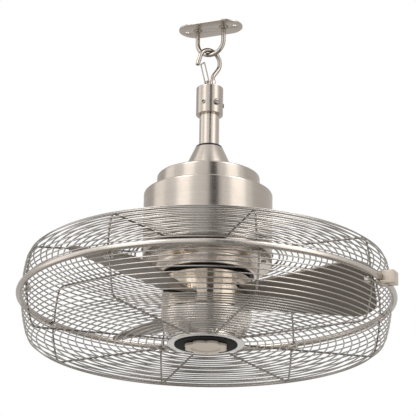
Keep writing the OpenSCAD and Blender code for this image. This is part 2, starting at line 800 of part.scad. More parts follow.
module rotor_lower_shell() {
    color([0.48, 0.48, 0.48]) difference() {
        union() {
            translate([0, 0, z_rotor_foot])
                cylinder(d = rotor_d, h = z_rotor_mid - z_rotor_foot, $fn = fine);
            translate([0, 0, z_hub + fit]) cylinder(d = rotor_boss_d, h = z_rotor_foot - z_hub, $fn = fine);
        }
        translate([0, 0, z_rotor_foot + rotor_wall])
            cylinder(d = rotor_d - 2 * rotor_wall, h = rotor_h, $fn = fine);
        translate([0, 0, z_rotor_foot + rotor_wall - bearing_w])
            cylinder(d = bearing_d + 2 * run, h = bearing_w + cut, $fn = 64);
        translate([0, 0, z_hub - cut]) cylinder(d = shaft_d + 2 * shaft_room, h = rotor_h, $fn = 64);
    }
}

module bearing(z0) {
    color([0.68, 0.68, 0.70]) ring(bearing_d, shaft_d + 2 * run, z0, z0 + bearing_w);
}

module upper_bearing() { bearing(z_rotor - bearing_w); }

module lower_bearing() { bearing(z_rotor_foot + rotor_wall - bearing_w + fit); }

// Hub and blades

// Places a child drawn with X outward from the axis and its top face up, on blade i
module on_blade(i) {
    translate([0, 0, z_hoop + blade_z]) rotate([0, 0, blade_angles[i]])
        translate([blade_root_r, 0, 0]) rotate([0, -blade_rise, 0]) rotate([-blade_pitch, 0, 0])
            translate([-blade_root_r, 0, 0]) children();
}

iron_in = 24;
iron_lift = blade_t / 2 + fit;
hub_foot_edge = 1;

// Corner circles at the tip, and how the straight edges run from the root to them
corner_x = blade_tip_r - blade_corner_r;
corner_y = blade_wide_w / 2 - blade_corner_r;
edge_run = corner_x - blade_root_r;
edge_rise = corner_y - blade_root_w / 2;
edge_reach = norm([edge_run, edge_rise]);
edge_slope = atan2(edge_rise, edge_run) + asin(blade_corner_r / edge_reach);
slot_half = blade_root_w / 2 + (hub_d / 2 - blade_root_r) * tan(edge_slope) + slot_room;

// Arm of a blade iron, from inside the hub out over the blade
module iron_arm(grow) {
    translate([hub_d / 2 - iron_in - grow, -iron_w / 2 - grow, iron_lift - grow])
        cube([iron_in + blade_root_r + iron_reach - hub_d / 2 - iron_w / 2 + grow,
            iron_w + 2 * grow, iron_t + 2 * grow]);
    translate([blade_root_r + iron_reach - iron_w / 2, 0, iron_lift - grow])
        cylinder(d = iron_w + 2 * grow, h = iron_t + 2 * grow, $fn = 64);
}

// Slot in the hub's side that the root of a blade goes into
module blade_slot() {
    translate([blade_root_r - slot_room, -blade_shift - slot_half, -blade_t / 2 - slot_room])
        cube([hub_d / 2, 2 * slot_half, blade_t + slot_room + fit]);
}

module hub() {
    color([0.66, 0.58, 0.49]) difference() {
        rotate_extrude($fn = fine) disc_section(hub_d / 2, z_hub_foot, z_hub, hub_edge_r, hub_foot_edge);
        translate([0, 0, z_hub_foot - cut]) cylinder(d = hub_bore_d, h = hub_h + 2 * cut, $fn = fine);
        for (i = [0 : blade_count - 1]) {
            on_blade(i) iron_arm(fit);
            on_blade(i) blade_slot();
        }
    }
}

blade_holes = [[36, 0], [54, -9], [54, 9]];
blade_screw_d = 5;
blade_head_d = 9;
blade_head_t = 2;
blade_skin = 1;     // left below the end of each screw

module blade_iron(i) {
    color([0.60, 0.56, 0.51]) difference() {
        on_blade(i) iron_arm(0);
        for (p = blade_holes)
            on_blade(i) translate([blade_root_r + p[0], p[1], iron_lift - cut])
                cylinder(d = blade_screw_d + 2 * fit, h = iron_t + 2 * cut, $fn = 32);
    }
}

module blade_iron_1() { blade_iron(0); }

module blade_iron_2() { blade_iron(1); }

module blade_iron_3() { blade_iron(2); }

// Outline of a blade: straight edges that run into the round corners at the tip
module blade_outline() {
    half = blade_root_w / 2;
    straight = sqrt(edge_reach * edge_reach - blade_corner_r * blade_corner_r);
    tx = blade_root_r + straight * cos(edge_slope);
    ty = half + straight * sin(edge_slope);
    polygon([
        [blade_root_r, -half], [tx, -ty], [corner_x, -corner_y], [blade_tip_r, -corner_y],
        [blade_tip_r, corner_y], [corner_x, corner_y], [tx, ty], [blade_root_r, half]
    ]);
    for (s = [-1, 1])
        translate([corner_x, s * corner_y]) circle(r = blade_corner_r, $fn = fine);
}

module blade(i) {
    color([0.36, 0.32, 0.28]) difference() {
        on_blade(i) translate([0, -blade_shift, -blade_t / 2])
            linear_extrude(blade_t) blade_outline();
        for (p = blade_holes)
            on_blade(i) translate([blade_root_r + p[0], p[1], -blade_t / 2 + blade_skin])
                cylinder(d = blade_screw_d + 2 * fit, h = blade_t, $fn = 32);
    }
}

module blade_1() { blade(0); }

module blade_2() { blade(1); }

module blade_3() { blade(2); }

module blade_screws() {
    color([0.62, 0.60, 0.57])
        for (i = [0 : blade_count - 1], p = blade_holes)
            on_blade(i) translate([blade_root_r + p[0], p[1], 0]) {
                translate([0, 0, -blade_t / 2 + blade_skin + fit])
                    cylinder(d = blade_screw_d, h = blade_t + iron_t - blade_skin + fit, $fn = 32);
                translate([0, 0, iron_lift + iron_t + fit])
                    cylinder(d = blade_head_d, h = blade_head_t, $fn = 32);
            }
}

// Guard

clamp_gap = 3;
clamp_screw_d = 4;
clamp_head_d = 6;
clamp_head_t = 1.7;
clamp_head_up = 0.6;
clamp_recess = 2.4;
clamp_thread = 12;
clamp_screw_out = 4;
clamp_in = hoop_d / 2 - hoop_tube_d / 2 - 1;
// The block is lower between the first rings above and below the hoop
clamp_step = ring_r + ring_d / 2 + move_gap - clamp_in;
clamp_neck_h = 2 * (first_ring - ring_d / 2 - 2 * move_gap);

module guard_hoop() {
    half_gap = asin(clamp_gap / hoop_d);
    color([0.80, 0.76, 0.72]) translate([0, 0, z_hoop])
        rotate([0, 0, clamp_angle + half_gap])
            rotate_extrude(angle = 360 - 2 * half_gap, $fn = fine)
                translate([hoop_d / 2, 0]) circle(d = hoop_tube_d, $fn = 32);
}

// Block over the hoop's two ends, with two screws up into it
module hoop_clamp() {
    color([0.84, 0.80, 0.74]) difference() {
        rotate([0, 0, clamp_angle]) {
            translate([clamp_in + clamp_step, -clamp_len / 2, z_hoop - clamp_h / 2])
                cube([clamp_depth - clamp_step, clamp_len, clamp_h]);
            translate([clamp_in, -clamp_len / 2, z_hoop - clamp_neck_h / 2])
                cube([clamp_step + cut, clamp_len, clamp_neck_h]);
        }
        wire_ring(hoop_d / 2, z_hoop, hoop_tube_d + 2 * fit);
        for (s = [-1, 1]) clamp_place(s)
            translate([0, 0, -cut])
                cylinder(d = clamp_screw_d + 2 * fit, h = clamp_thread + move_gap * 5 + cut, $fn = 32);
        for (s = [-1, 1]) clamp_place(s)
            translate([0, 0, -cut])
                cylinder(d = clamp_head_d + move_gap, h = clamp_recess + cut, $fn = 32);
    }
}

module clamp_place(s) {
    rotate([0, 0, clamp_angle])
        translate([(hoop_d + hoop_tube_d) / 2 + clamp_screw_out, s * clamp_len / 4, z_hoop - clamp_h / 2])
            children();
}

module clamp_screws() {
    color([0.30, 0.29, 0.28])
        for (s = [-1, 1]) clamp_place(s) {
            translate([0, 0, clamp_head_up]) cylinder(d = clamp_head_d, h = clamp_head_t, $fn = 32);
            translate([0, 0, clamp_head_up]) cylinder(d = clamp_screw_d, h = clamp_thread, $fn = 32);
        }
}

// Saddles below the hoop that each rib lies in, short of the first ring
clip_out = rib_r + rib_d / 2 - 0.5;
// Length of a clip past the middle of its rib
clip_past = 2.6;

module rib_clips() {
    color([0.76, 0.72, 0.67])
        for (a = rib_angles)
            rotate([0, 0, a]) translate([0, 0, z_hoop]) difference() {
                translate([clip_out - clip_depth, clip_past - clip_len, -hoop_tube_d / 2 - fit - clip_h])
                    cube([clip_depth, clip_len, clip_h]);
                translate([side_x, 0, 0]) wire_arc(side_r - wire_step, rib_d + 2 * fit, -6, 0);
            }
}

// Height of a rib's end above the hoop's plane
rib_lift = 0.2;
// How far ribs run past the innermost ring and the cup's foot, and the last ring's
// distance from the centre plate
rib_past = 2;
plate_room = 3;

// One half of the guard is drawn above the hoop's plane; the lower half is its mirror
// Past the shoulder a rib runs straight to radius r_end and climbs at the given slope
module rib_half(h, r_end, slope = 0) {
    a = side_angle(h);
    lift = rib_lift / side_r * 180 / PI;
    bend = shoulder_r - wire_step;
    translate([side_x, 0, 0]) wire_arc(side_r - wire_step, rib_d, lift, a);
    // The bend is a hair thicker, and the two lengths that it joins end inside it
    translate([shoulder_x(h), 0, h - shoulder_r]) {
        wire_arc(bend, rib_d + seam, a - 1, 91 - slope);
        translate([bend * sin(slope), 0, bend * cos(slope)]) rotate([0, slope - 90, 0])
            cylinder(d = rib_d, h = (shoulder_x(h) + bend * sin(slope) - r_end) / cos(slope),
                $fn = wire_fine);
    }
}

inner_ring_d = drum_d + 2 * ring_gap;

// Slope of the guard's top, which starts where the shoulder has turned that far
top_slope = atan(top_rise / (shoulder_x(guard_top) - inner_ring_d / 2));
function top_z(r) = guard_top - shoulder_r + shoulder_r / cos(top_slope)
    + (shoulder_x(guard_top) - r) * tan(top_slope);

module upper_ribs() {
    color([0.66, 0.62, 0.57]) translate([0, 0, z_hoop])
        for (a = rib_angles) rotate([0, 0, a + upper_turn])
            rib_half(guard_top, inner_ring_d / 2 - rib_past, top_slope);
}

module lower_ribs() {
    color([0.66, 0.62, 0.57]) translate([0, 0, z_hoop]) mirror([0, 0, 1])
        for (a = rib_angles) rotate([0, 0, a]) rib_half(guard_bottom, cup_foot_d / 2 + rib_past);
}

module side_rings(h) {
    for (k = [0 : side_ring_count(h) - 1]) {
        p = ring_at(first_ring + k * side_pitch, h);
        wire_ring(p[0], p[1], ring_d);
    }
}

// Radius of the first ring past the shoulder
function flat_first(h) =
    shoulder_x(h) - first_ring - side_ring_count(h) * side_pitch + side_len(h) + shoulder_len(h);

module upper_side_rings() {
    color([0.74, 0.70, 0.65]) translate([0, 0, z_hoop]) side_rings(guard_top);
}

// Two close rings next to the innermost one, then even steps out to the shoulder
top_radii = concat(
    [inner_ring_d / 2 + band_pitch],
    [for (r = [inner_ring_d / 2 + 2 * band_pitch : top_pitch : flat_first(guard_top) + top_pitch / 3]) r]
);

module upper_top_rings() {
    color([0.74, 0.70, 0.65]) translate([0, 0, z_hoop])
        for (r = top_radii) wire_ring(r, top_z(r), ring_d);
}

module lower_side_rings() {
    color([0.74, 0.70, 0.65]) translate([0, 0, z_hoop]) mirror([0, 0, 1]) side_rings(guard_bottom);
}

module lower_bottom_rings() {
    color([0.74, 0.70, 0.65]) translate([0, 0, z_hoop]) mirror([0, 0, 1])
        for (r = [flat_first(guard_bottom) : -bottom_pitch : centre_d / 2 + plate_room])
            wire_ring(r, guard_bottom, ring_d);
}

z_inner_ring = z_hoop + top_z(inner_ring_d / 2) + (inner_wire_d - ring_d) / 2;

module guard_inner_ring() {
    color([0.70, 0.66, 0.61]) wire_ring(inner_ring_d / 2, z_inner_ring, inner_wire_d);
}

// Black brackets on the drum's side: two run on as arcs from one rib to the next
bracket_leg = 14;
bracket_hole_drop = 5;
// How far the flat part runs past the upright part on each side, in degrees
bracket_lip = 0.5;
bracket_screw_d = 4;
screw_head_d = 7;
screw_head_t = 2.2;
screw_slot = 1;
z_bracket = z_inner_ring - bracket_t / 2;
bracket_in = drum_d / 2 + fit;
bracket_out = inner_ring_d / 2 - inner_wire_d / 2 - weld;
bracket_arcs = [bracket_angles[1], bracket_angles[3]];
arc_span = 360 / rib_count + bracket_back;
bracket_hole_z = z_bracket + bracket_leg - bracket_hole_drop;

// Flat arc between two radii and two directions
module arc_plate(r0, r1, z0, t, a0, a1) {
    translate([0, 0, z0]) rotate([0, 0, a0]) rotate_extrude(angle = a1 - a0, $fn = fine)
        translate([r0, 0]) square([r1 - r0, t]);
}

module guard_brackets() {
    half = asin(bracket_w / 2 / bracket_in);
    color([0.12, 0.12, 0.12]) {
        for (a = bracket_angles) difference() {
            union() {
                rotate([0, 0, a]) translate([0, 0, z_bracket + bracket_t / 2])
                    arc_plate(bracket_in, bracket_in + bracket_t, 0, bracket_leg, -half, half);
                arc_plate(bracket_in, bracket_out, z_bracket, bracket_t, a - half - bracket_lip,
                    a + (a == bracket_arcs[0] || a == bracket_arcs[1] ? arc_span : half + bracket_lip));
            }
            rotate([0, 0, a]) translate([0, 0, bracket_hole_z]) rotate([0, 90, 0])
                cylinder(d = bracket_screw_d + 2 * fit, h = drum_d, $fn = 32);
        }
    }
}

module bracket_screws() {
    color([0.85, 0.83, 0.80])
        for (a = bracket_angles)
            rotate([0, 0, a])
                translate([bracket_in + bracket_t + fit, 0, bracket_hole_z])
                    screw_x(bracket_screw_d, bracket_t + shell_wall + fit, screw_head_d,
                        screw_head_t, screw_slot);
}

// Screws that hold the motor in the drum: four in its side and four in its floor
module drum_screws() {
    color([0.85, 0.83, 0.80]) {
        for (a = side_screw_angles)
            rotate([0, 0, a]) translate([drum_d / 2 + fit, 0, side_screw_z])
                screw_x(bracket_screw_d, shell_wall, screw_head_d, screw_head_t, screw_slot);
        for (a = floor_screw_angles)
            rotate([0, 0, a]) translate([floor_screw_r, 0, z_neck]) rotate([0, 90, 0])
                screw_x(bracket_screw_d, shell_wall, screw_head_d, screw_head_t, screw_slot);
    }
}

// Fixed cup below the hub, and the pieces that clamp the guard's middle to it

// The cup's side folds in at two heights, given as shares of its depth
cup_folds = [0.12, 0.55];
cup_rim_in = 0.5;
cup_fold_in = 5;
cup_floor_t = 3;
cup_inner_up = 1;
cup_boss_w = 12;
cup_boss_drop = 4;

module lower_cup() {
    rim = cup_top_d / 2;
    foot = cup_foot_d / 2;
    inner = rim - cup_wall;
    boss = stud_d / 2 + cup_boss_w;
    mid_z = z_cup - (z_cup - cup_foot_z) * cup_folds[0];
    low_z = z_cup - (z_cup - cup_foot_z) * cup_folds[1];
    color([0.72, 0.69, 0.66]) difference() {
        rotate_extrude($fn = fine) difference() {
            polygon([
                [0, z_cup], [rim, z_cup], [rim - cup_rim_in, mid_z], [rim - cup_fold_in, low_z],
                [foot, cup_foot_z], [0, cup_foot_z]
            ]);
            polygon([
                [boss, z_cup + cut], [inner, z_cup + cut], [inner - cup_rim_in, mid_z],
                [inner - cup_fold_in, low_z + cup_inner_up], [foot - cup_wall, cup_foot_z + cup_floor_t],
                [boss, cup_foot_z + cup_floor_t]
            ]);
            translate([0, z_cup - cup_boss_drop]) square([boss + cut, cup_boss_drop + 2 * cut]);
        }
        translate([0, 0, cup_foot_z - cut])
            cylinder(d = stud_d + 2 * fit, h = z_cup - cup_foot_z + 2 * cut, $fn = 48);
    }
}

// Rim of the washer that lies on the plate, and its rounded edge
washer_lip = 4;
washer_edge = 0.5;

module guard_centre_plate() {
    color([0.84, 0.82, 0.79]) rotate_extrude($fn = fine) difference() {
        disc_section(centre_d / 2, z_centre_foot, z_centre, 0, centre_t / 2);
        translate([0, z_centre_foot - cut]) square([washer_d / 2 - washer_lip, centre_t + 2 * cut]);
    }
}

module centre_washer() {
    color([0.10, 0.10, 0.10]) rotate_extrude($fn = fine) difference() {
        union() {
            disc_section(washer_d / 2, z_washer_foot, z_centre_foot - fit, 0, washer_edge);
            translate([0, z_centre_foot - fit]) square([washer_d / 2 - washer_lip - fit, centre_t]);
        }
        translate([0, z_washer_foot - cut]) square([stud_d / 2 + fit, centre_t + washer_t + 2 * cut]);
    }
}

// Lobed hand knob on the stud, with a shallow recess below
knob_lobe_r = knob_d * 0.11;
knob_body_d = knob_d - 2.4 * knob_lobe_r;
knob_recess_d = knob_d * 0.55;
knob_recess = 1;

module guard_knob() {
    z_top = z_washer_foot - link_gap;
    color([0.80, 0.74, 0.66]) difference() {
        union() {
            translate([0, 0, z_top - knob_h])
                cylinder(d = knob_body_d, h = knob_h, $fn = fine);
            for (i = [0 : knob_lobes - 1])
                rotate([0, 0, i * 360 / knob_lobes])
                    translate([knob_d / 2 - knob_lobe_r, 0, z_top - knob_h])
                        cylinder(r = knob_lobe_r, h = knob_h, $fn = 40);
        }
        translate([0, 0, z_top - knob_h - cut]) {
            cylinder(d = stud_d + 2 * run, h = knob_h + 2 * cut, $fn = 48);
            cylinder(d = knob_recess_d, h = knob_recess + cut, $fn = 64);
        }
    }
}

ceiling_plate();
u_bolt();
u_bolt_feet();
snap_hook();
hook_base();
hook_nut();
hook_gate();
collar();
collar_bolt();
collar_bolt_nut();
collar_set_screws();
downrod();
rod_gasket();
yoke_cover();
rod_coupling();
coupling_pin();
upper_housing();
drum_housing();
motor_neck();
seal_ring();
motor_shaft();
stator_core();
stator_winding();
rotor_upper_shell();
rotor_lower_shell();
upper_bearing();
lower_bearing();
hub();
blade_iron_1();
blade_iron_2();
blade_iron_3();
blade_1();
blade_2();
blade_3();
blade_screws();
guard_hoop();
hoop_clamp();
clamp_screws();
rib_clips();
upper_ribs();
upper_side_rings();
upper_top_rings();
guard_inner_ring();
guard_brackets();
bracket_screws();
drum_screws();
lower_ribs();
lower_side_rings();
lower_bottom_rings();
lower_cup();
guard_centre_plate();
centre_washer();
guard_knob();
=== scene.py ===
"""Looks for a caged outdoor fan that hangs by a snap hook from a ceiling plate."""

import json
import logging
import math
from dataclasses import dataclass
from enum import Enum
from typing import Any

import bpy
from mathutils import Matrix, Vector

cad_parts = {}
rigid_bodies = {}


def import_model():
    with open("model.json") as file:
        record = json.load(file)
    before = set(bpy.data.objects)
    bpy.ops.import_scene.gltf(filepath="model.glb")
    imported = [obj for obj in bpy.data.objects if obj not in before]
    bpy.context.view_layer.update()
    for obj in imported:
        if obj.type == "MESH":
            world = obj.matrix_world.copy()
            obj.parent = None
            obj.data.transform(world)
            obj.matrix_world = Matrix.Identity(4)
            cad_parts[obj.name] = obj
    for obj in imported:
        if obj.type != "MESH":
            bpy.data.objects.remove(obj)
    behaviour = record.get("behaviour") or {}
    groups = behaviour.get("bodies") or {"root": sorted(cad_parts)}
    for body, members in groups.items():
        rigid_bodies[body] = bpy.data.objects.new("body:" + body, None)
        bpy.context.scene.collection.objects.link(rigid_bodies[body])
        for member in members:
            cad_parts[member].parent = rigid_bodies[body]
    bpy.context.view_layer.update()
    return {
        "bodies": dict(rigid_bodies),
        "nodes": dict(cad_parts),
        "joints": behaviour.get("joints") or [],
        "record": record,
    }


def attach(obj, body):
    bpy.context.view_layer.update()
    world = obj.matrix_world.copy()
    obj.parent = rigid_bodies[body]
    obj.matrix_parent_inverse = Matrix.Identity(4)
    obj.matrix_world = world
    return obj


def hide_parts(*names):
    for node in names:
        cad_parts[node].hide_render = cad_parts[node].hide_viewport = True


LOG = logging.getLogger("fan")

# In metres: a millimetre, and the distance within which corners are merged.
MM = 0.001
MERGE = 1e-6

# In millimetres: the rounding of a sheet's cut edge, the air between fitted pieces,
# and the depth of a hole that goes right through.
CRISP = 0.2
AIR = 0.1
THROUGH = 12.0

# Steps round a large turned piece.
ROUND_STEPS = 128

# Pointedness at which an edge starts to be rubbed, and at which it is all rubbed.
RUB_START = 0.54
RUB_FULL = 0.66

Colour = tuple[float, float, float]
Point = tuple[float, float]
Corner = tuple[float, float, float]


class Signal:
    """A number that varies over a surface, used in Python arithmetic."""

    def __init__(self, paint: "Paint", socket: Any) -> None:
        """Wraps one output of a material's nodes."""
        self.paint = paint
        self.socket = socket

    def _with(self, operation: str, other: Any) -> "Signal":
        """Adds one Math node and gives its result."""
        return self.paint.add("ShaderNodeMath", {0: self, 1: other}, operation=operation)

    def __add__(self, other: Any) -> "Signal":
        """Gives self + other."""
        return self._with("ADD", other)

    __radd__ = __add__

    def __mul__(self, other: Any) -> "Signal":
        """Gives self * other."""
        return self._with("MULTIPLY", other)

    __rmul__ = __mul__


class Paint:
    """The nodes of one material, or of the world, under construction."""

    def __init__(self, owner: Any, shader: str = "Principled BSDF") -> None:
        """Starts with the shader that a new material or world has.

        Args:
            owner: The material or the world.
            shader: The name of that shader.
        """
        owner.use_nodes = True
        self.owner = owner
        self.tree = owner.node_tree
        self.shader = self.tree.nodes[shader]

    def add(self, kind: str, values: dict[Any, Any], output: Any = 0, **settings: Any) -> Signal:
        """Adds a node.

        Args:
            kind: The node's type.
            values: Values or signals by socket name or number.
            output: The output that is returned.
            **settings: Its own settings, or a ramp's two stops as position and grey.

        Returns:
            That output.
        """
        node = self.tree.nodes.new(kind)
        for key, value in settings.items():
            if key == "stops":
                for element, (position, grey) in zip(node.color_ramp.elements, value):
                    element.position = position
                    element.color = (grey, grey, grey, 1.0)
            else:
                setattr(node, key, value)
        for key, value in values.items():
            self.feed(node.inputs[key], value)
        return Signal(self, node.outputs[output])

    def feed(self, socket: Any, value: Any) -> None:
        """Links or sets one input.

        Args:
            socket: The input.
            value: A signal, a number or a colour.
        """
        if isinstance(value, Signal):
            self.tree.links.new(value.socket, socket)
        elif socket.type == "RGBA":
            socket.default_value = (*value, 1.0)
        else:
            socket.default_value = value

    def set(self, **values: Any) -> None:
        """Feeds the shader's own sockets, by name with underscores for spaces."""
        for name, value in values.items():
            self.feed(self.shader.inputs[name.replace("_", " ")], value)

    def stretched(self, lines: Corner) -> Signal:
        """Scales the object's coordinates to some lines per metre on each axis."""
        place = self.add("ShaderNodeTexCoord", {}, "Object")
        return self.add("ShaderNodeMapping", {"Vector": place, "Scale": lines})

    def noise(self, lines: Corner, detail: float = 2.0, rough: float = 0.5) -> Signal:
        """Adds a noise of values near 0.5, with its octaves and the weight of the finer ones."""
        where = {"Vector": self.stretched(lines), "Scale": 1.0}
        return self.add("ShaderNodeTexNoise", {**where, "Detail": detail, "Roughness": rough})

    def blend(self, share: Signal, low: Any, high: Any) -> Signal:
        """Mixes two colours by the share of the second."""
        return self.add("ShaderNodeMix", {"Factor": share, 6: low, 7: high}, 2, data_type="RGBA")

    def ramp(self, value: Signal, low: float, high: float) -> Signal:
        """Makes 0 to 1 of what lies between two values."""
        return self.add("ShaderNodeValToRGB", {"Fac": value}, stops=((low, 0.0), (high, 1.0)))

    def edges(self) -> Signal:
        """Gives 0 on flat surfaces and 1 on sharp edges that stand proud."""
        point = self.add("ShaderNodeNewGeometry", {}, "Pointiness")
        return self.ramp(point, RUB_START, RUB_FULL)

    def bump(self, height: Signal, depth: float, strength: float) -> Signal:
        """Makes a normal of a pattern, its depth in metres and its weight."""
        pattern = {"Height": height, "Distance": depth, "Strength": strength}
        return self.add("ShaderNodeBump", pattern, "Normal")


def shade(colour: Colour, by: float) -> Colour:
    """Scales a colour, to at most 1."""
    return tuple(min(1.0, c * by) for c in colour)


class Grain(Enum):
    """Which way a brushed surface was worked, as lines per metre along X, Y and Z."""

    TURNED = (9.0, 9.0, 520.0)
    DRAWN = (900.0, 900.0, 14.0)
    LENGTHWISE = (12.0, 1100.0, 1100.0)


@dataclass(frozen=True)
class BrushedMetal:
    """Satin plate with fine brush lines, handling marks and edges rubbed bright."""

    colour: Colour
    grain: Grain = Grain.TURNED
    roughness: float = 0.24
    depth: float = 0.000010
    cloud: Corner = (24.0, 24.0, 24.0)
    mark: Corner = (70.0, 70.0, 40.0)
    mark_start: float = 0.58
    mark_full: float = 0.78

    def mix(self, paint: Paint) -> None:
        """Mixes the finish.

        Args:
            paint: The material's nodes.
        """
        lines = paint.noise(self.grain.value, 3.0, 0.65)
        cloud = paint.noise(self.cloud, 3.0)
        marks = paint.ramp(paint.noise(self.mark, 5.0), self.mark_start, self.mark_full)
        tone = paint.blend(lines, shade(self.colour, 0.90), shade(self.colour, 1.10))
        tone = paint.blend(marks * 0.3, tone, shade(self.colour, 0.84))
        tone = paint.blend(paint.edges() * 0.5, tone, shade(self.colour, 1.3))
        paint.set(
            Base_Color=tone,
            Metallic=1.0,
            Roughness=lines * 0.08 + cloud * 0.08 + marks * 0.06 + (self.roughness - 0.09),
            Normal=paint.bump(lines, self.depth, 0.4),
        )


@dataclass(frozen=True)
class WireMetal:
    """Plated wire: smooth, with a slight mottle of the bath."""

    colour: Colour
    roughness: float = 0.27
    mottle: Corner = (180.0, 180.0, 180.0)
    patch: Corner = (22.0, 22.0, 22.0)
    depth: float = 0.00003

    def mix(self, paint: Paint) -> None:
        """Mixes the finish.

        Args:
            paint: The material's nodes.
        """
        mottle = paint.noise(self.mottle, 4.0)
        patch = paint.noise(self.patch)
        paint.set(
            Base_Color=paint.blend(patch, shade(self.colour, 0.86), shade(self.colour, 1.12)),
            Metallic=1.0,
            Roughness=mottle * 0.14 + (self.roughness - 0.07),
            Normal=paint.bump(mottle, self.depth, 0.25),
        )


@dataclass(frozen=True)
class Coat:
    """Sprayed, powder or moulded surface: fine peel, thin dust and rubbed edges."""

    colour: Colour
    roughness: float
    metal: float = 0.0
    shine: float = 0.5
    rub: float = 1.5
    peel: Corner = (900.0, 900.0, 900.0)
    dust: Corner = (34.0, 34.0, 34.0)
    depth: float = 0.00004

    def mix(self, paint: Paint) -> None:
        """Mixes the finish.

        Args:
            paint: The material's nodes.
        """
        dust = paint.noise(self.dust, 4.0)
        tone = paint.blend(dust, shade(self.colour, 0.88), shade(self.colour, 1.12))
        paint.set(
            Base_Color=paint.blend(paint.edges() * 0.5, tone, shade(self.colour, self.rub)),
            Metallic=self.metal,
            Specular_IOR_Level=self.shine,
            Roughness=dust * 0.16 + (self.roughness - 0.08),
            Normal=paint.bump(paint.noise(self.peel), self.depth, 0.22),
        )


@dataclass(frozen=True)
class Copper:
    """Varnished winding wire laid round the motor."""

    colour: Colour = (0.72, 0.40, 0.20)
    lines: Corner = (260.0, 260.0, 0.0)
    depth: float = 0.0003

    def mix(self, paint: Paint) -> None:
        """Mixes the finish.

        Args:
            paint: The material's nodes.
        """
        where = {"Vector": paint.stretched(self.lines), "Scale": 1.0, "Distortion": 1.5}
        rings = {"wave_type": "RINGS", "rings_direction": "Z"}
        strands = paint.add("ShaderNodeTexWave", where, "Fac", **rings)
        paint.set(
            Base_Color=paint.blend(strands, shade(self.colour, 0.55), self.colour),
            Metallic=0.9,
            Roughness=strands * 0.2 + 0.3,
            Normal=paint.bump(strands, self.depth, 0.6),
        )


NICKEL: Colour = (0.50, 0.45, 0.40)
BLACK: Colour = (0.012, 0.012, 0.012)


class Finish(Enum):
    """Every finish on the fan, and what it is mixed from."""

    TURNED_NICKEL = BrushedMetal(NICKEL)
    PLATE_NICKEL = BrushedMetal(NICKEL, Grain.LENGTHWISE, 0.30)
    DRAWN_NICKEL = BrushedMetal(NICKEL, Grain.DRAWN)
    HOOK_NICKEL = WireMetal(shade(NICKEL, 0.85), 0.24)
    HUB_NICKEL = BrushedMetal((0.68, 0.59, 0.49), roughness=0.15, depth=0.000001)
    # The same nickel painted far lighter for the neck and cup, which sit in shade: painted light.
    SHADED_NICKEL = BrushedMetal((0.88, 0.81, 0.74), depth=0.000004)
    HOOP_NICKEL = WireMetal((0.60, 0.55, 0.50), 0.26)
    GUARD_NICKEL = WireMetal((0.46, 0.435, 0.405), 0.24)
    # The ribs are the rings' wire painted darker: a painted dark reflection.
    RIB_NICKEL = WireMetal((0.24, 0.22, 0.20), 0.24)
    BLADE_COAT = Coat((0.22, 0.188, 0.155), 0.42, 0.6)
    CLAMP_COAT = Coat((0.56, 0.49, 0.41), 0.38, 0.4)
    BLACK_COAT = Coat(BLACK, 0.5, shine=0.04)
    BLACK_RUBBER = Coat(BLACK, 0.40, shine=0.25)
    # Flat black for the inside of the hub's slots: painted shade where their depth lies in shadow.
    SLOT_LINER = Coat(BLACK, 0.75, shine=0.1)
    BRIGHT_STEEL = BrushedMetal((0.74, 0.72, 0.69), roughness=0.26)
    SCREW_STEEL = BrushedMetal((0.40, 0.38, 0.35), roughness=0.22)
    DARK_STEEL = BrushedMetal((0.28, 0.26, 0.24), roughness=0.35)
    MOTOR_CAST = Coat((0.22, 0.22, 0.22), 0.55, 0.8)
    WINDING_COPPER = Copper()
    KNOB_MOULDING = Coat((0.53, 0.455, 0.37), 0.36)

    def made(self) -> Any:
        """Makes the finish's material.

        Returns:
            The material.
        """
        material = bpy.data.materials.new(self.name.lower())
        self.value.mix(Paint(material))
        return material


def rounded(corners: list[Corner], steps: int = 4, closed: bool = True) -> list[Point]:
    """Rounds the corners of an outline.

    Args:
        corners: Two coordinates and the rounding of each corner, in millimetres.
        steps: Lengths that each rounding is drawn with.
        closed: Whether the last corner runs on to the first.

    Returns:
        The points of the outline.
    """
    points: list[Point] = []
    for number, (x, y, radius) in enumerate(corners):
        if radius <= 0.0 or (not closed and number in (0, len(corners) - 1)):
            points.append((x, y))
            continue
        corner = Vector((x, y))
        before = (Vector(corners[number - 1][:2]) - corner).normalized()
        after = (Vector(corners[(number + 1) % len(corners)][:2]) - corner).normalized()
        half = before.angle(after) / 2.0
        centre = corner + (before + after).normalized() * (radius / math.sin(half))
        reach, sweep = radius / math.tan(half), math.pi - 2.0 * half
        first, last = corner + before * reach - centre, corner + after * reach - centre
        for step in range(steps + 1):
            part = step / steps * sweep
            spoke = first * math.sin(sweep - part) + last * math.sin(part)
            points.append(tuple(centre + spoke / math.sin(sweep)))
    return points


# The steps by which every new piece is modelled. Their lengths are in millimetres.


def clear() -> None:
    """Leaves edit mode and deselects every object."""
    active = bpy.context.view_layer.objects.active
    if active and active.mode == "EDIT":
        bpy.ops.object.mode_set(mode="OBJECT")
    bpy.ops.object.select_all(action="DESELECT")


def take(piece: Any) -> None:
    """Makes one piece the only selected one.

    Args:
        piece: The piece.
    """
    clear()
    piece.select_set(True)
    bpy.context.view_layer.objects.active = piece


def start(name: str) -> Any:
    """Names the primitive just added and puts its place into its mesh.

    Args:
        name: The piece's name.

    Returns:
        The piece.
    """
    piece = bpy.context.object
    piece.name = piece.data.name = name
    bpy.ops.object.transform_apply(location=True, rotation=True, scale=True)
    return piece


def edit() -> None:
    """Opens the active piece with all its corners selected."""
    bpy.ops.object.mode_set(mode="EDIT")
    bpy.ops.mesh.select_mode(type="VERT")
    bpy.ops.mesh.select_all(action="SELECT")


def merge() -> None:
    """Opens the active piece, merges its doubles and leaves all of it selected."""
    edit()
    bpy.ops.mesh.remove_doubles(threshold=MERGE)
    bpy.ops.mesh.select_all(action="SELECT")


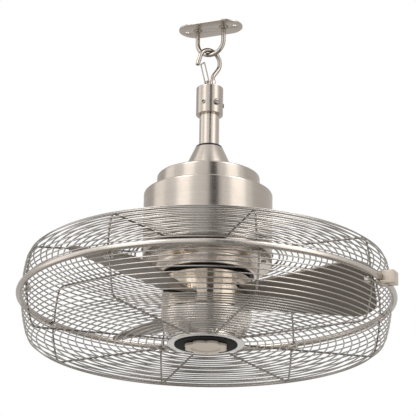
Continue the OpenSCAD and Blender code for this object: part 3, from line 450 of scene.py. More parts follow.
def close() -> None:
    """Merges doubles, turns the faces outwards and leaves edit mode."""
    merge()
    bpy.ops.mesh.normals_make_consistent(inside=False)
    bpy.ops.object.mode_set(mode="OBJECT")


def extrude(step: Vector) -> None:
    """Extrudes what is selected."""
    bpy.ops.mesh.extrude_region_move(TRANSFORM_OT_translate={"value": step * MM})


def draw(name: str, points: list[Vector]) -> Any:
    """Draws a line of edges and stays in edit mode with its last corner selected.

    Args:
        name: The piece's name.
        points: Its corners.

    Returns:
        The piece.
    """
    clear()
    bpy.ops.mesh.primitive_plane_add(size=MM, location=points[0] * MM)
    piece = start(name)
    edit()
    bpy.ops.mesh.merge(type="CENTER")
    for here, there in zip(points, points[1:]):
        extrude(there - here)
    return piece


def turned(
    name: str, corners: list[Corner], fine: int = 4, closed: bool = True, steps: int = 96
) -> Any:
    """Turns a section about the fan's axis.

    Args:
        name: The piece's name.
        corners: Radius, height and rounding of each corner.
        fine: Lengths that each rounding is drawn with.
        closed: Whether the section closes on itself, or ends on the axis.
        steps: Lengths round the axis.

    Returns:
        The piece.
    """
    section = rounded(corners, fine, closed)
    ends = section + section[:1] if closed else section
    piece = draw(name, [Vector((r, 0.0, z)) for r, z in ends])
    merge()
    bpy.ops.mesh.spin(steps=steps, angle=2 * math.pi, center=(0, 0, 0), axis=(0, 0, 1))
    close()
    return piece


def sheet(name: str, outline: list[Point], foot: float, head: float) -> Any:
    """Fills an outline and raises it.

    Args:
        name: The piece's name.
        outline: Its points, seen from above.
        foot: Height of the lower face.
        head: Height of the upper face.

    Returns:
        The piece.
    """
    piece = draw(name, [Vector((x, y, foot)) for x, y in outline])
    bpy.ops.mesh.select_all(action="SELECT")
    bpy.ops.mesh.edge_face_add()
    extrude(Vector((0.0, 0.0, head - foot)))
    close()
    return piece


def modify(piece: Any, kind: str, **settings: Any) -> None:
    """Adds a modifier and applies it.

    Args:
        piece: The piece.
        kind: The modifier's type.
        **settings: Its settings.
    """
    take(piece)
    modifier = piece.modifiers.new(kind.title(), kind)
    for key, value in settings.items():
        setattr(modifier, key, value)
    bpy.ops.object.modifier_apply(modifier=modifier.name)


def soften(piece: Any, width: float, segments: int = 3, limit: float = 35.0) -> None:
    """Rounds the edges that are sharper than a limit in degrees."""
    sharp = {"limit_method": "ANGLE", "angle_limit": math.radians(limit)}
    modify(
        piece, "BEVEL", width=width * MM, segments=segments, use_clamp_overlap=False, **sharp
    )


def cut(piece: Any, tool: Any) -> None:
    """Cuts one piece with another, which is then removed."""
    modify(piece, "BOOLEAN", object=tool, operation="DIFFERENCE", solver="EXACT")
    bpy.data.objects.remove(tool)


def drill(piece: Any, at: Vector, diameter: float, depth: float = THROUGH) -> None:
    """Cuts an upright round hole.

    Args:
        piece: What is cut.
        at: Middle of the hole.
        diameter: Its diameter.
        depth: Its height, half of it above the middle.
    """
    clear()
    size = {"radius": diameter / 2 * MM, "depth": depth * MM}
    bpy.ops.mesh.primitive_cylinder_add(vertices=40, location=at * MM, **size)
    cut(piece, start("drill"))


def copied(piece: Any, name: str, place: Matrix = Matrix.Identity(4)) -> Any:
    """Copies a piece, with a mesh of its own.

    Args:
        piece: What is copied.
        name: The copy's name.
        place: Where it goes, in metres.

    Returns:
        The copy.
    """
    twin = piece.copy()
    twin.data = piece.data.copy()
    twin.name = twin.data.name = name
    bpy.context.scene.collection.objects.link(twin)
    twin.data.transform(place)
    return twin


def spread(piece: Any, name: str, places: list[Matrix]) -> Any:
    """Copies a piece to many places and joins the copies.

    Args:
        piece: The first of them, which is removed.
        name: The joined piece's name.
        places: Where each goes, in metres.

    Returns:
        The joined piece.
    """
    twins = [copied(piece, name, place) for place in places]
    bpy.data.objects.remove(piece)
    take(twins[0])
    for twin in twins:
        twin.select_set(True)
    bpy.ops.object.join()
    twins[0].name = twins[0].data.name = name
    return twins[0]


def refined(node: Any, name: str, width: float, segments: int = 2) -> Any:
    """Copies a CAD node and rounds its sharp edges.

    Args:
        node: The node's object.
        name: The new piece's name.
        width: Width of the rounding.
        segments: Faces across it.

    Returns:
        The piece.
    """
    piece = copied(node, name)
    piece.parent = None
    piece.matrix_world = Matrix.Identity(4)
    take(piece)
    merge()
    bpy.ops.mesh.dissolve_limited(angle_limit=math.radians(1.0))
    bpy.ops.object.mode_set(mode="OBJECT")
    soften(piece, width, segments)
    return piece


def moved(x: float, y: float, z: float) -> Matrix:
    """Gives a shift, from millimetres."""
    return Matrix.Translation(Vector((x, y, z)) * MM)


def turn(degrees: float, axis: str = "Z") -> Matrix:
    """Gives a turn about an axis through the origin."""
    return Matrix.Rotation(math.radians(degrees), 4, axis)


def quarters(first: float, place: Matrix) -> list[Matrix]:
    """Gives four places a quarter turn apart, from the first one's angle in degrees."""
    return [turn(first + 90 * number) @ place for number in range(4)]


@dataclass(frozen=True)
class Screw:
    """A slotted screw with a domed head, turned once and copied."""

    head_d: float = 7.0
    head_t: float = 2.2
    shank_d: float = 4.0
    length: float = 3.6
    slot: float = 1.0
    slot_depth: float = 1.1

    def build(self, name: str) -> Any:
        """Models the screw along +X, with the underside of its head at the origin.

        Args:
            name: The piece's name.

        Returns:
            The piece.
        """
        head, shank, top = self.head_d / 2, self.shank_d / 2, self.head_t
        corners = [
            (0.0, -self.length, 0.0), (shank, -self.length, 0.3), (shank, 0.0, 0.0),
            (head, 0.0, 0.25), (head, top * 0.5, 0.5), (head * 0.72, top * 0.92, 1.2),
            (0.0, top, 0.0),
        ]
        piece = turned(name, corners, 3, closed=False, steps=24)
        clear()
        bpy.ops.mesh.primitive_cube_add(size=MM, location=(0, 0, top * MM))
        bpy.context.object.scale = (self.slot, self.head_d * 1.2, 2 * self.slot_depth)
        cut(piece, start("slot_cutter"))
        piece.data.transform(turn(90.0, "Y"))
        return piece


@dataclass
class SubAssembly:
    """A group of pieces, modelled and dressed together, in millimetres and degrees."""

    frame: dict[str, Any]
    finishes: dict[Finish, Any]
    body: str = "hanger"

    def dress(self) -> None:
        """Dresses the CAD nodes that stay, where there are any."""

    def wear(self, finish: Finish, *nodes: str) -> None:
        """Gives CAD nodes a finish.

        Args:
            finish: The finish.
            *nodes: The nodes' names.
        """
        for node in nodes:
            for slot in self.node(node).material_slots:
                slot.material = self.finishes[finish]
            LOG.info("%s wears %s", node, finish.name.lower())

    def keep(
        self,
        piece: Any,
        finish: Finish,
        *replaced: str,
        slot: str = "brushed_nickel",
        smooth: float = 32.0,
    ) -> None:
        """Dresses a new piece and hands it to the frame.

        Args:
            piece: The piece.
            finish: Its finish.
            *replaced: CAD nodes that it stands for.
            slot: The record's slot for its finish; not used.
            smooth: Greatest angle in degrees that is shaded smooth.
        """
        take(piece)
        bpy.ops.object.shade_smooth_by_angle(angle=math.radians(smooth))
        piece.data.materials.clear()
        piece.data.materials.append(self.finishes[finish])
        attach(piece, self.body)
        if replaced:
            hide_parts(*replaced)
        LOG.info("%s: %d faces on %s", piece.name, len(piece.data.polygons), self.body)

    def node(self, name: str) -> Any:
        """Gives a CAD node's object."""
        return self.frame["nodes"][name]


@dataclass
class CeilingMount(SubAssembly):
    """Oblong plate and U-bolt that stay on the ceiling."""

    body: str = "mount"
    length: float = 90.0
    width: float = 48.0
    thickness: float = 2.5
    end_flat: float = 0.01
    edge: float = 0.5
    hole_apart: float = 70.0
    hole_d: float = 6.5
    leg_apart: float = 38.0
    leg_d: float = 6.0
    foot_z: float = -4.55
    bead: float = 1.5
    bead_gap: float = 0.02

    def build(self) -> None:
        """Models the plate and the weld beads on the legs."""
        end, side = self.length / 2, self.width / 2
        ways = ((1, -1), (1, 1), (-1, 1), (-1, -1))
        corners = [(x * end, y * side, side - self.end_flat) for x, y in ways]
        plate = sheet("plate_pressing", rounded(corners, 20), -self.thickness, 0.0)
        for way in (-1, 1):
            drill(plate, Vector((way * self.hole_apart / 2, 0, 0)), self.hole_d)
            drill(plate, Vector((way * self.leg_apart / 2, 0, 0)), self.leg_d + 2 * AIR)
        soften(plate, self.edge)
        self.keep(plate, Finish.PLATE_NICKEL, "ceiling_plate")
        leg, foot = self.leg_d / 2 + self.bead_gap, self.foot_z
        section = [(leg, foot, 0), (leg + self.bead, foot, CRISP), (leg, foot - self.bead, 0.3)]
        bead = turned("leg_bead", section, steps=32)
        places = [moved(way * self.leg_apart / 2, 0, 0) for way in (-1, 1)]
        self.keep(spread(bead, "leg_beads", places), Finish.HOOK_NICKEL)

    def dress(self) -> None:
        """Dresses the nodes that stay."""
        self.wear(Finish.HOOK_NICKEL, "u_bolt", "u_bolt_feet")


@dataclass
class SnapHook(SubAssembly):
    """Bent wire hook on its base; the gate swings on its own body."""

    heading: float = 58.0
    top_z: float = -33.8
    wire_d: float = 6.0
    eye_r: float = 16.5
    eye_x: float = -0.8
    nose_end: float = 163.0
    back_end: float = 35.0
    nose_len: float = 15.5
    shank_x: float = 4.6
    shank_foot: float = -71.4
    bend_r: float = 8.0
    tip: float = 1.7
    seat_edge: float = 0.35

    def build(self) -> None:
        """Models the hook's wire from its foot to its rounded tip, and its base."""
        back, nose = math.radians(self.back_end), math.radians(self.nose_end)
        start_x = self.eye_x + self.eye_r * math.cos(back)
        start_z = -self.eye_r * (1 + math.sin(back))
        length = (start_x - self.shank_x - self.bend_r * (1 - math.cos(back))) / math.sin(back)
        shank_top = start_z - length * math.cos(back) - self.bend_r * math.sin(back)
        foot = Vector((self.shank_x, 0, self.shank_foot)) * MM
        clear()
        bpy.ops.mesh.primitive_circle_add(vertices=24, radius=self.wire_d / 2 * MM, location=foot)
        wire = start("hook_wire")
        edit()
        extrude(Vector((0, 0, shank_top - self.shank_foot)))
        self.bend(-back, Vector((self.shank_x + self.bend_r, 0, shank_top)), 8)
        extrude(Vector((math.sin(back), 0, math.cos(back))) * length)
        self.bend(nose + back, Vector((self.eye_x, 0, -self.eye_r)), 48)
        extrude(Vector((-math.sin(nose), 0, math.cos(nose))) * self.nose_len)
        bpy.ops.mesh.select_all(action="DESELECT")
        bpy.ops.mesh.select_non_manifold()
        bpy.ops.mesh.fill_holes(sides=0)
        close()
        soften(wire, self.tip, 5, 60.0)
        wire.data.transform(moved(0, 0, self.top_z) @ turn(self.heading))
        self.keep(wire, Finish.HOOK_NICKEL, "snap_hook", smooth=50.0)
        seat = refined(self.node("hook_base"), "hook_seat", self.seat_edge)
        self.keep(seat, Finish.HOOK_NICKEL, "hook_base")

    @staticmethod
    def bend(angle: float, centre: Vector, steps: int) -> None:
        """Runs the wire round a bend, by radians from +X towards +Z."""
        bpy.ops.mesh.spin(steps=steps, angle=angle, center=centre * MM, axis=(0, 1, 0))

    def dress(self) -> None:
        """Dresses the nodes that stay."""
        self.wear(Finish.HOOK_NICKEL, "hook_gate")
        self.wear(Finish.DARK_STEEL, "hook_nut")


@dataclass
class RodAndCollar(SubAssembly):
    """Collar with its bolt, the downrod, its gasket and the conical cover."""

    bolt: Screw = Screw(9.0, 3.0, 6.0, 42.4, 1.4, 1.5)
    bolt_angle: float = -35.6
    bolt_z: float = -114.2
    collar_r: float = 18.2
    rod_r: float = 13.45
    cover_top: float = -176.7
    cover_foot: float = -216.9
    cover_top_r: float = 18.9
    cover_foot_r: float = 36.5
    cover_lip: float = 1.0
    cover_t: float = 2.0
    wall: float = 1.82
    gasket_r: float = 18.7
    gasket_top: float = -173.7
    gasket_slope: float = 1.5

    def build(self) -> None:
        """Models the collar's bolt, the gasket and the cover."""
        bolt = self.bolt.build("collar_bolt_domed")
        bolt.data.transform(turn(self.bolt_angle) @ moved(self.collar_r + AIR, 0, self.bolt_z))
        self.keep(bolt, Finish.DARK_STEEL, "collar_bolt", slot="plain_steel")
        rod, top, foot = self.rod_r, self.cover_top, self.cover_foot
        gasket = [
            (rod, self.gasket_top, 0.5), (self.gasket_r - self.gasket_slope, self.gasket_top, 1.0),
            (self.gasket_r, top + AIR, 0.3), (rod, top + AIR, 0),
        ]
        ring = turned("gasket_ring", gasket)
        self.keep(ring, Finish.BLACK_RUBBER, "rod_gasket", slot="black_rubber")
        below = top - self.cover_t
        cover = [
            (rod, top, CRISP), (self.cover_top_r, top, 0.9),
            (self.cover_foot_r, foot + self.cover_lip, 0.4), (self.cover_foot_r, foot, CRISP),
            (self.cover_foot_r - self.wall, foot, CRISP),
            (self.cover_top_r - self.wall, below, 0.6), (rod, below, CRISP),
        ]
        cone = turned("cover_spinning", cover)
        self.keep(cone, Finish.TURNED_NICKEL, "yoke_cover")

    def dress(self) -> None:
        """Dresses the nodes that stay."""
        self.wear(Finish.DRAWN_NICKEL, "downrod")
        self.wear(Finish.TURNED_NICKEL, "collar")
        self.wear(Finish.DARK_STEEL, "collar_set_screws", "collar_bolt_nut", "coupling_pin")
        self.wear(Finish.MOTOR_CAST, "rod_coupling")


@dataclass
class Housing(SubAssembly):
    """Stepped housing: upper step, drum, its floor and neck, seal ring and screws."""

    cap_r: float = 68.6
    cap_top: float = -217.0
    drum_r: float = 85.8
    drum_top: float = -241.7
    drum_foot: float = -342.2
    neck_r: float = 66.0
    neck_foot: float = -356.2
    hole_r: float = 62.0
    seal_in: float = 56.0
    seal_t: float = 3.2
    wall: float = 1.5
    rod_hole_r: float = 17.1
    edge: float = 3.0
    side_screw_z: float = -322.2
    side_angle: float = -61.1
    floor_screw_r: float = 79.0
    floor_angle: float = -87.0
    stud_foot: float = -452.0
    stud_edge: float = 0.4

    def build(self) -> None:
        """Models the spun shells, the neck, the seal, the shaft and the drum's screws."""
        for name, node, radius, foot, head, lip in (
            ("cap_spinning", "upper_housing", self.cap_r, self.drum_top + AIR, self.cap_top, 0.3),
            ("drum_spinning", "drum_housing", self.drum_r, self.drum_foot, self.drum_top, 0.8),
        ):
            inside, below = radius - self.wall, head - self.wall
            section = [
                (self.rod_hole_r, head, CRISP), (radius, head, self.edge), (radius, foot, lip),
                (inside, foot, CRISP), (inside, below, self.edge - self.wall),
                (self.rod_hole_r, below, CRISP),
            ]
            shell = turned(name, section, 6, steps=ROUND_STEPS)
            self.keep(shell, Finish.TURNED_NICKEL, node)
        wall, foot, hole = self.wall, self.neck_foot, self.hole_r
        floor, inside, rim = self.drum_foot + AIR, self.neck_r - wall, self.drum_r - wall - AIR
        neck = [
            (rim, floor, CRISP), (self.neck_r, floor, 1.6), (self.neck_r, foot, 1.2),
            (hole, foot, 0.3), (hole, foot + wall, CRISP), (inside, foot + wall, 0.6),
            (inside, floor + wall, 2.4), (rim, floor + wall, CRISP),
        ]
        piece = turned("neck_pressing", neck, 5, steps=ROUND_STEPS)
        # The neck wears nickel painted lighter: painted light over its shade.
        self.keep(piece, Finish.SHADED_NICKEL, "motor_neck")
        seat = foot + wall + AIR
        seal = [
            (self.seal_in, foot, 0.9), (hole - AIR, foot, CRISP), (hole - AIR, seat, 0),
            (inside - AIR, seat, 0.3), (inside - AIR, seat + self.seal_t, 0.4),
            (self.seal_in, seat + self.seal_t, 1.0),
        ]
        piece = turned("seal_moulding", seal, steps=ROUND_STEPS)
        self.keep(piece, Finish.BLACK_RUBBER, "seal_ring", slot="black_rubber")
        shaft = refined(self.node("motor_shaft"), "shaft_turned", self.stud_edge)
        take(shaft)
        edit()
        plane = {"plane_co": (0, 0, self.stud_foot * MM), "plane_no": (0, 0, 1)}
        bpy.ops.mesh.bisect(use_fill=True, clear_inner=True, **plane)
        close()
        self.keep(shaft, Finish.DARK_STEEL, "motor_shaft", slot="plain_steel")
        places = quarters(self.side_angle, moved(self.drum_r + AIR, 0, self.side_screw_z))
        down = moved(self.floor_screw_r, 0, self.drum_foot) @ turn(90, "Y")
        places += quarters(self.floor_angle, down)
        screws = spread(Screw(length=wall).build("drum_screw"), "drum_screw_set", places)
        self.keep(screws, Finish.SCREW_STEEL, "drum_screws", slot="bright_steel")

    def dress(self) -> None:
        """Dresses the motor inside, which stays as it is."""
        self.wear(Finish.MOTOR_CAST, "stator_core")
        self.wear(Finish.WINDING_COPPER, "stator_winding")


@dataclass
class Rotor(SubAssembly):
    """Everything that turns: shells, bearings, slotted hub, irons and blades."""

    body: str = "rotor"
    blades: int = 3
    root_r: float = 46.0
    tip_r: float = 222.0
    root_w: float = 54.7
    root_corner: float = 2.0
    corner_r: float = 29.0
    widest: float = 129.0
    shift: float = 7.0
    thickness: float = 4.0
    edge: float = 1.3
    root_z: float = -389.1
    pitch: float = 16.8
    rise: float = 3.35
    first: float = 16.4
    hub_edge: float = 0.5
    slot_in: float = 31.0
    slot_out: float = 57.9
    slot_foot: float = -405.2
    slot_top: float = -364.9

    def outline(self) -> list[Point]:
        """Draws a blade from above.

        Returns:
            The outline, with sides that run into the round corners at the tip.
        """
        run = self.tip_r - self.corner_r - self.root_r
        climb = (self.widest - self.root_w) / 2 - self.corner_r
        slope = math.atan2(climb, run) + math.asin(self.corner_r / math.hypot(run, climb))
        half = self.root_w / 2
        tip_half = half + (self.tip_r - self.root_r) * math.tan(slope)
        corners = [
            (self.root_r, -half, self.root_corner), (self.tip_r, -tip_half, self.corner_r),
            (self.tip_r, tip_half, self.corner_r), (self.root_r, half, self.root_corner),
        ]
        return [(x, y - self.shift) for x, y in rounded(corners, 18)]

    def build(self) -> None:
        """Models the blades and gives the hub soft edges and painted shade in its slots."""
        blade = sheet("blade_blank", self.outline(), -self.thickness / 2, self.thickness / 2)
        soften(blade, self.edge, 4)
        tilt = (
            moved(self.root_r, 0, 0) @ turn(-self.rise, "Y") @ turn(-self.pitch, "X")
            @ moved(-self.root_r, 0, 0)
        )
        for number in range(self.blades):
            around = turn(self.first + 360 / self.blades * number)
            place = moved(0, 0, self.root_z) @ around @ tilt
            leaf = copied(blade, f"blade_leaf_{number + 1}", place)
            self.keep(leaf, Finish.BLADE_COAT, f"blade_{number + 1}", slot="blade_finish")
        bpy.data.objects.remove(blade)
        hub = refined(self.node("hub"), "hub_casting", self.hub_edge)
        self.keep(hub, Finish.HUB_NICKEL, "hub", slot="warm_nickel")
        # The faces inside the hub's slots get flat black: painted shade, not a real liner.
        hub.data.materials.append(self.finishes[Finish.SLOT_LINER])
        for face in hub.data.polygons:
            x, y, z = face.center / MM
            within = self.slot_in < math.hypot(x, y) < self.slot_out
            face.material_index = int(within and self.slot_foot < z < self.slot_top)

    def dress(self) -> None:
        """Dresses the nodes that stay."""
        self.wear(Finish.HUB_NICKEL, "blade_iron_1", "blade_iron_2", "blade_iron_3")
        self.wear(Finish.BRIGHT_STEEL, "blade_screws")
        self.wear(Finish.DARK_STEEL, "upper_bearing", "lower_bearing")
        self.wear(Finish.MOTOR_CAST, "rotor_upper_shell", "rotor_lower_shell")


@dataclass
class Guard(SubAssembly):
    """Welded wire guard: hoop, clamp, clips, brackets and the welds of its wires."""

    hoop_z: float = -387.2
    hoop_d: float = 492.0
    hoop_tube_d: float = 8.5
    ring_d: float = 1.8
    side_r: float = 180.0
    shoulder_r: float = 13.0
    top_h: float = 53.0
    top_rise: float = 6.0
    bottom_h: float = 60.5
    first_ring: float = 8.4
    side_pitch: float = 6.9
    top_pitch: float = 7.6
    band_pitch: float = 5.1
    bottom_pitch: float = 10.2
    inner_r: float = 95.5
    plate_r: float = 51.0
    plate_room: float = 3.0
    rib_start: float = -6.4
    upper_turn: float = -0.8
    ribs: int = 8
    nugget: Corner = (0.95, 1.5, 1.15)
    bracket_z: float = -319.686
    bracket_r: float = 87.9
    bracket_angle: float = -9.9
    clamp_edge: float = 0.8
    clip_edge: float = 0.5
    bracket_edge: float = 0.3

    def crossings(self, height: float, rise: float, way: float) -> list[Matrix]:
        """Finds where the rings of one half cross a rib.

        Args:
            height: Height of that half's shoulder from the hoop's plane.
            rise: Rise of its flat part to the middle, or 0 for the lower half.
            way: 1 for the upper half and -1 for the lower.

        Returns:
            A weld's place at each ring, on a rib that runs along X.
        """
        side_x = (self.hoop_d - self.hoop_tube_d + self.ring_d) / 2 - self.side_r
        low, reach = height - self.shoulder_r, self.side_r - self.shoulder_r
        swing = math.asin(low / reach)
        shoulder_x = side_x + reach * math.cos(swing)
        side_len = self.side_r * swing
        whole = side_len + self.shoulder_r * (math.pi / 2 - swing)
        count = math.floor((whole - self.first_ring) / self.side_pitch) + 1
        found = []
        # The rings on the curved side and round the shoulder.
        for number in range(count):
            along = self.first_ring + number * self.side_pitch
            if along < side_len:
                angle, r, x, z = along / self.side_r, self.side_r, side_x, 0.0
            else:
                angle, r = swing + (along - side_len) / self.shoulder_r, self.shoulder_r
                x, z = shoulder_x, low
            found.append((x + r * math.cos(angle), z + r * math.sin(angle), angle))
        # The rings on the flat part, which rises to the middle in the upper half.
        flat = shoulder_x + whole - self.first_ring - count * self.side_pitch
        slope = math.atan(rise / (shoulder_x - self.inner_r))
        if rise:
            radii = [self.inner_r + self.band_pitch]
            r = self.inner_r + 2 * self.band_pitch
            while r <= flat + self.top_pitch / 3:
                radii.append(r)
                r += self.top_pitch
        else:
            radii = []
            while flat >= self.plate_r + self.plate_room:
                radii.append(flat)
                flat -= self.bottom_pitch
        for r in radii:
            z = low + self.shoulder_r / math.cos(slope) + (shoulder_x - r) * math.tan(slope)
            found.append((r, z, math.pi / 2 - slope))
        # Each weld lies where its ring touches the rib.
        places = []
        for r, z, angle in found:
            x, up = r - self.ring_d / 2 * math.cos(angle), z - self.ring_d / 2 * math.sin(angle)
            lean = turn(-way * math.degrees(angle), "Y")
            places.append(moved(x, 0, self.hoop_z + way * up) @ lean)
        return places

    def build(self) -> None:
        """Models the welds, the clamp, the clips, the brackets and their screws."""
        clear()
        bpy.ops.mesh.primitive_uv_sphere_add(segments=8, ring_count=5, radius=MM)
        nugget = start("weld_nugget")
        edit()
        bpy.ops.transform.resize(value=self.nugget)
        close()
        for name, height, rise, way, offset in (
            ("upper_welds", self.top_h, self.top_rise, 1.0, self.upper_turn),
            ("lower_welds", self.bottom_h, 0.0, -1.0, 0.0),
        ):
            turns = [turn(self.rib_start + offset + i * 360 / self.ribs) for i in range(self.ribs)]
            rib = self.crossings(height, rise, way)
            places = [around @ place for around in turns for place in rib]
            welds = spread(copied(nugget, name), name, places)
            self.keep(welds, Finish.GUARD_NICKEL, slot="guard_wire", smooth=180.0)
        bpy.data.objects.remove(nugget)
        clamp = refined(self.node("hoop_clamp"), "clamp_block", self.clamp_edge, 3)
        self.keep(clamp, Finish.CLAMP_COAT, "hoop_clamp", slot="clamp_paint")
        clips = refined(self.node("rib_clips"), "rib_saddles", self.clip_edge)
        self.keep(clips, Finish.HOOP_NICKEL, "rib_clips", slot="guard_wire")
        node = self.node("guard_brackets")
        brackets = refined(node, "bracket_pressings", self.bracket_edge)
        self.keep(brackets, Finish.BLACK_COAT, "guard_brackets", slot="black_coat")
        places = quarters(self.bracket_angle, moved(self.bracket_r + AIR, 0, self.bracket_z))
        heads = spread(Screw().build("bracket_screw"), "bracket_screw_set", places)
        self.keep(heads, Finish.SCREW_STEEL, "bracket_screws", slot="bright_steel")

    def dress(self) -> None:
        """Dresses the wires, which stay as they are."""
        self.wear(Finish.HOOP_NICKEL, "guard_hoop")
        self.wear(Finish.GUARD_NICKEL, "upper_side_rings", "upper_top_rings")
        self.wear(Finish.GUARD_NICKEL, "lower_side_rings", "lower_bottom_rings")
        self.wear(Finish.GUARD_NICKEL, "guard_inner_ring")
        # The ribs wear the wire painted darker: a painted dark reflection.
        self.wear(Finish.RIB_NICKEL, "upper_ribs", "lower_ribs")
        self.wear(Finish.DARK_STEEL, "clamp_screws")


@dataclass
class LowerCup(SubAssembly):
    """Fixed cup below the hub, with the plate and washer that hold the guard."""

    rim_r: float = 60.0
    rim_roll: float = 0.7
    taper: float = 0.5
    fold_r: float = 55.0
    foot_r: float = 42.0
    top: float = -408.7
    foot: float = -446.7
    floor_t: float = 3.0
    upper_share: float = 0.12
    lower_share: float = 0.55
    wall: float = 2.2
    boss_r: float = 17.0
    stud_r: float = 5.1
    boss_top: float = -412.7

    def build(self) -> None:
        """Models the cup with its rolled rim and soft folds."""
        depth, wall, rim, roll = self.top - self.foot, self.wall, self.rim_r, self.rim_roll
        upper, lower = self.top - depth * self.upper_share, self.top - depth * self.lower_share
        floor = self.foot + self.floor_t
        section = [
            (rim, self.top, roll), (rim - self.taper, upper, 3.0), (self.fold_r, lower, 14.0),
            (self.foot_r, self.foot, 2.5), (self.stud_r, self.foot, 0.3),
            (self.stud_r, self.boss_top, 0.3), (self.boss_r, self.boss_top, 1.0),
            (self.boss_r, floor, 1.0), (self.foot_r - wall, floor, 2.0),
            (self.fold_r - wall, lower + 1.0, 10.0), (rim - wall - self.taper, upper, 2.0),
            (rim - wall, self.top, roll),
        ]
        cup = turned("cup_spinning", section, 6, steps=ROUND_STEPS)
        # The cup wears nickel painted lighter: painted light over its shade.
        self.keep(cup, Finish.SHADED_NICKEL, "lower_cup")

    def dress(self) -> None:
        """Dresses the nodes that stay."""
        self.wear(Finish.BRIGHT_STEEL, "guard_centre_plate")
        self.wear(Finish.BLACK_COAT, "centre_washer")


@dataclass
class HandKnob(SubAssembly):
    """Lobed knob that clamps the guard's middle; it takes the whole CAD node's place."""

    body: str = "knob"
    valley_r: float = 24.4
    lobe_r: float = 28.7
    flatness: float = 0.4
    lobes: int = 8
    points: int = 192
    foot: float = -454.1
    head: float = -450.3
    edge: float = 0.6
    dish_r: float = 19.5
    dish_slope: float = 0.6
    dish: float = 1.5
    bore_d: float = 10.1
    bore_foot: float = -452.1

    def outline(self) -> list[Point]:
        """Draws the knob from below.

        Returns:
            The outline: a disc with round lobes.
        """
        points = []
        for number in range(self.points):
            around = 2 * math.pi * number / self.points
            swell = (0.5 + 0.5 * math.cos(self.lobes * around)) ** self.flatness
            r = self.valley_r + (self.lobe_r - self.valley_r) * swell
            points.append((r * math.cos(around), r * math.sin(around)))
        return points

    def build(self) -> None:
        """Models the knob: lobes, a dished face and a blind bore for the stud."""
        knob = sheet("knob_moulded", self.outline(), self.foot, self.head)
        soften(knob, self.edge, 3, 60.0)
        deep, outside, above = self.foot + self.dish, self.foot - 1.0, self.head + 1.0
        dish = [
            (0, outside, 0), (self.dish_r + self.dish_slope, outside, 0),
            (self.dish_r, deep, 0.8), (0, deep, 0),
        ]
        cut(knob, turned("dish_cutter", dish, closed=False, steps=64))
        drill(knob, Vector((0, 0, above)), self.bore_d, 2 * (above - self.bore_foot))
        self.keep(knob, Finish.KNOB_MOULDING, "guard_knob", slot="knob_plastic", smooth=40.0)


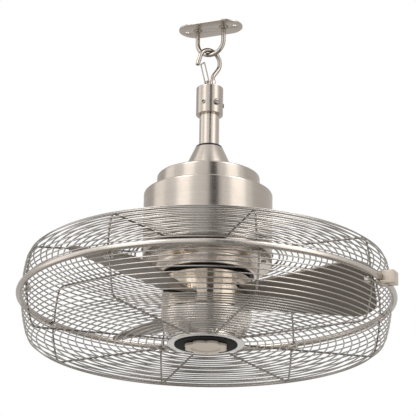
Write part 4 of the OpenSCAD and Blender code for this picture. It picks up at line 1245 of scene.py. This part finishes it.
@dataclass
class Studio:
    """Camera, lamps, floor and backdrop, in metres and degrees."""

    aim: Corner = (0.0, 0.0, -0.3872)
    distance: float = 3.07
    heading: float = 23.4
    elevation: float = -16.57
    roll: float = 0.90
    sensor: float = 36.0
    frame_px: float = 416.0
    lens_px: float = 2334.6
    aim_px: Point = (206.55, 299.35)
    floor_z: float = -2.4
    floor_size: float = 30.0
    world_lit: float = 0.75
    world_seen: float = 1.0
    card_foot: float = -2.3
    card_top: float = 8.5
    card_tint: Colour = (1.0, 0.98, 0.96)
    lamp_reach: float = 3.0
    lamp_size: float = 1.6

    def build(self) -> None:
        """Builds the whole set."""
        self.camera()
        self.floor()
        self.world()
        self.cards()
        self.lamps()

    def camera(self) -> None:
        """Adds the camera at the photograph's place and angle."""
        data = bpy.data.cameras.new("camera")
        data.sensor_width = self.sensor
        data.lens = self.sensor * self.lens_px / self.frame_px
        data.clip_end = 50.0
        camera = bpy.data.objects.new("camera", data)
        bpy.context.scene.collection.objects.link(camera)
        side, rise = math.radians(self.heading), math.radians(self.elevation)
        level = Vector((math.sin(side), -math.cos(side), 0.0)) * math.cos(rise)
        back = level + Vector((0.0, 0.0, math.sin(rise)))
        right = Vector((math.cos(side), math.sin(side), 0.0))
        rows = Matrix((right, -right.cross(-back), -back))
        rolled = Matrix.Rotation(math.radians(self.roll), 3, "Z")
        middle = self.frame_px / 2
        seen = Vector((self.aim_px[0] - middle, self.aim_px[1] - middle, self.lens_px))
        swung = Vector((0.0, 0.0, 1.0)).rotation_difference(seen).to_matrix()
        rows = swung @ rolled @ rows
        axes = Matrix((rows[0], -rows[1], -rows[2])).transposed().to_4x4()
        camera.matrix_world = Matrix.Translation(Vector(self.aim) + back * self.distance) @ axes
        bpy.context.scene.camera = camera

    def floor(self) -> None:
        """Adds a pale floor that can be looked through from below."""
        clear()
        bpy.ops.mesh.primitive_plane_add(size=self.floor_size, location=(0.0, 0.0, self.floor_z))
        floor = bpy.context.object
        floor.name = "floor"
        paint = Paint(bpy.data.materials.new("floor_paint"))
        paint.set(Base_Color=(0.86, 0.86, 0.85), Roughness=0.9)
        glass = paint.add("ShaderNodeBsdfTransparent", {})
        below = paint.add("ShaderNodeNewGeometry", {}, "Backfacing")
        solid = Signal(paint, paint.shader.outputs[0])
        mixed = paint.add("ShaderNodeMixShader", {0: below, 1: solid, 2: glass})
        paint.feed(paint.tree.nodes["Material Output"].inputs["Surface"], mixed)
        floor.data.materials.append(paint.owner)

    def world(self) -> None:
        """Sets a pale world, white to the eye and in metal, softer as light."""
        scene = bpy.context.scene
        scene.world = bpy.data.worlds.new("studio")
        paint = Paint(scene.world, "Background")
        seen = paint.add("ShaderNodeLightPath", {}, "Is Camera Ray")
        for ray in ("Is Glossy Ray", "Is Transmission Ray"):
            other = paint.add("ShaderNodeLightPath", {}, ray)
            seen = paint.add("ShaderNodeMath", {0: seen, 1: other}, operation="MAXIMUM")
        strength = seen * (self.world_seen - self.world_lit) + self.world_lit
        paint.set(Color=(1.0, 1.0, 1.0), Strength=strength)
        scene.view_settings.view_transform = "Standard"

    def card(self, name: str, grey: float, size: Point, place: Vector, facing: Vector) -> None:
        """Adds a flat studio card that only reflections show.

        Args:
            name: The card's name.
            grey: Its brightness.
            size: Width and height.
            place: Its middle.
            facing: The way it faces.
        """
        clear()
        bpy.ops.mesh.primitive_plane_add(size=1.0)
        card = bpy.context.object
        card.name = name
        card.scale = (*size, 1.0)
        card.rotation_euler = facing.to_track_quat("Z", "Y").to_euler()
        card.location = place
        card.visible_camera = card.visible_shadow = card.visible_diffuse = False
        paint = Paint(bpy.data.materials.new(name))
        paint.set(Base_Color=(0.0, 0.0, 0.0), Roughness=1.0, Specular_IOR_Level=0.0)
        paint.set(Emission_Color=self.card_tint, Emission_Strength=grey)
        card.data.materials.append(paint.owner)

    def around(self, bearing: float, reach: float, height: float) -> Vector:
        """Gives a place by its bearing to the right of the camera, seen from above."""
        angle = math.radians(self.heading + bearing)
        return Vector((reach * math.sin(angle), -reach * math.cos(angle), height))

    def cards(self) -> None:
        """Adds the cards that the metal mirrors, by bearing, width in degrees, grey and reach."""
        tall, middle = self.card_top - self.card_foot, (self.card_top + self.card_foot) / 2
        for name, bearing, width, grey, reach in (
            ("flag_narrow", 10.5, 17.0, 0.02, 3.2),
            ("softbox_left", -44.0, 25.0, 1.85, 3.4),
            ("softbox_far_left", -97.0, 25.0, 1.45, 3.4),
            ("softbox_right", 55.0, 28.0, 1.95, 3.4),
            ("wall_right", 118.0, 66.0, 0.70, 3.6),
            ("wall_left", -138.0, 50.0, 0.60, 3.6),
            ("wall_back", 178.0, 56.0, 0.70, 3.8),
        ):
            across = 2.0 * reach * math.tan(math.radians(width / 2))
            facing = -self.around(bearing, reach, 0.0)
            self.card(name, grey, (across, tall), self.around(bearing, reach, middle), facing)
        self.card("floor_flag", 0.32, (5.0, 5.0), Vector((0, 0, -2.2)), Vector((0, 0, 1)))

    def lamps(self) -> None:
        """Adds the soft lamps, by bearing, height and power."""
        for name, bearing, height, power in (("key", 60.0, 2.8, 44.0), ("fill", -50.0, 2.6, 36.0)):
            light = bpy.data.lights.new(name, "AREA")
            light.energy = power
            light.size = self.lamp_size
            lamp = bpy.data.objects.new(name, light)
            bpy.context.scene.collection.objects.link(lamp)
            lamp.location = self.around(bearing, self.lamp_reach, height)
            way = Vector(self.aim) - lamp.location
            lamp.rotation_euler = way.to_track_quat("-Z", "Y").to_euler()


def main() -> None:
    """Loads the frame, builds and dresses each sub-assembly, and sets the studio."""
    logging.basicConfig(level=logging.INFO, format="%(name)s: %(message)s")
    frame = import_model()
    Studio().build()
    finishes = {finish: finish.made() for finish in Finish}
    for kind in (CeilingMount, SnapHook, RodAndCollar, Housing, Rotor, Guard, LowerCup, HandKnob):
        group = kind(frame, finishes)
        group.build()
        group.dress()
        LOG.info("%s is done", kind.__name__)


if __name__ == "__main__":
    main()
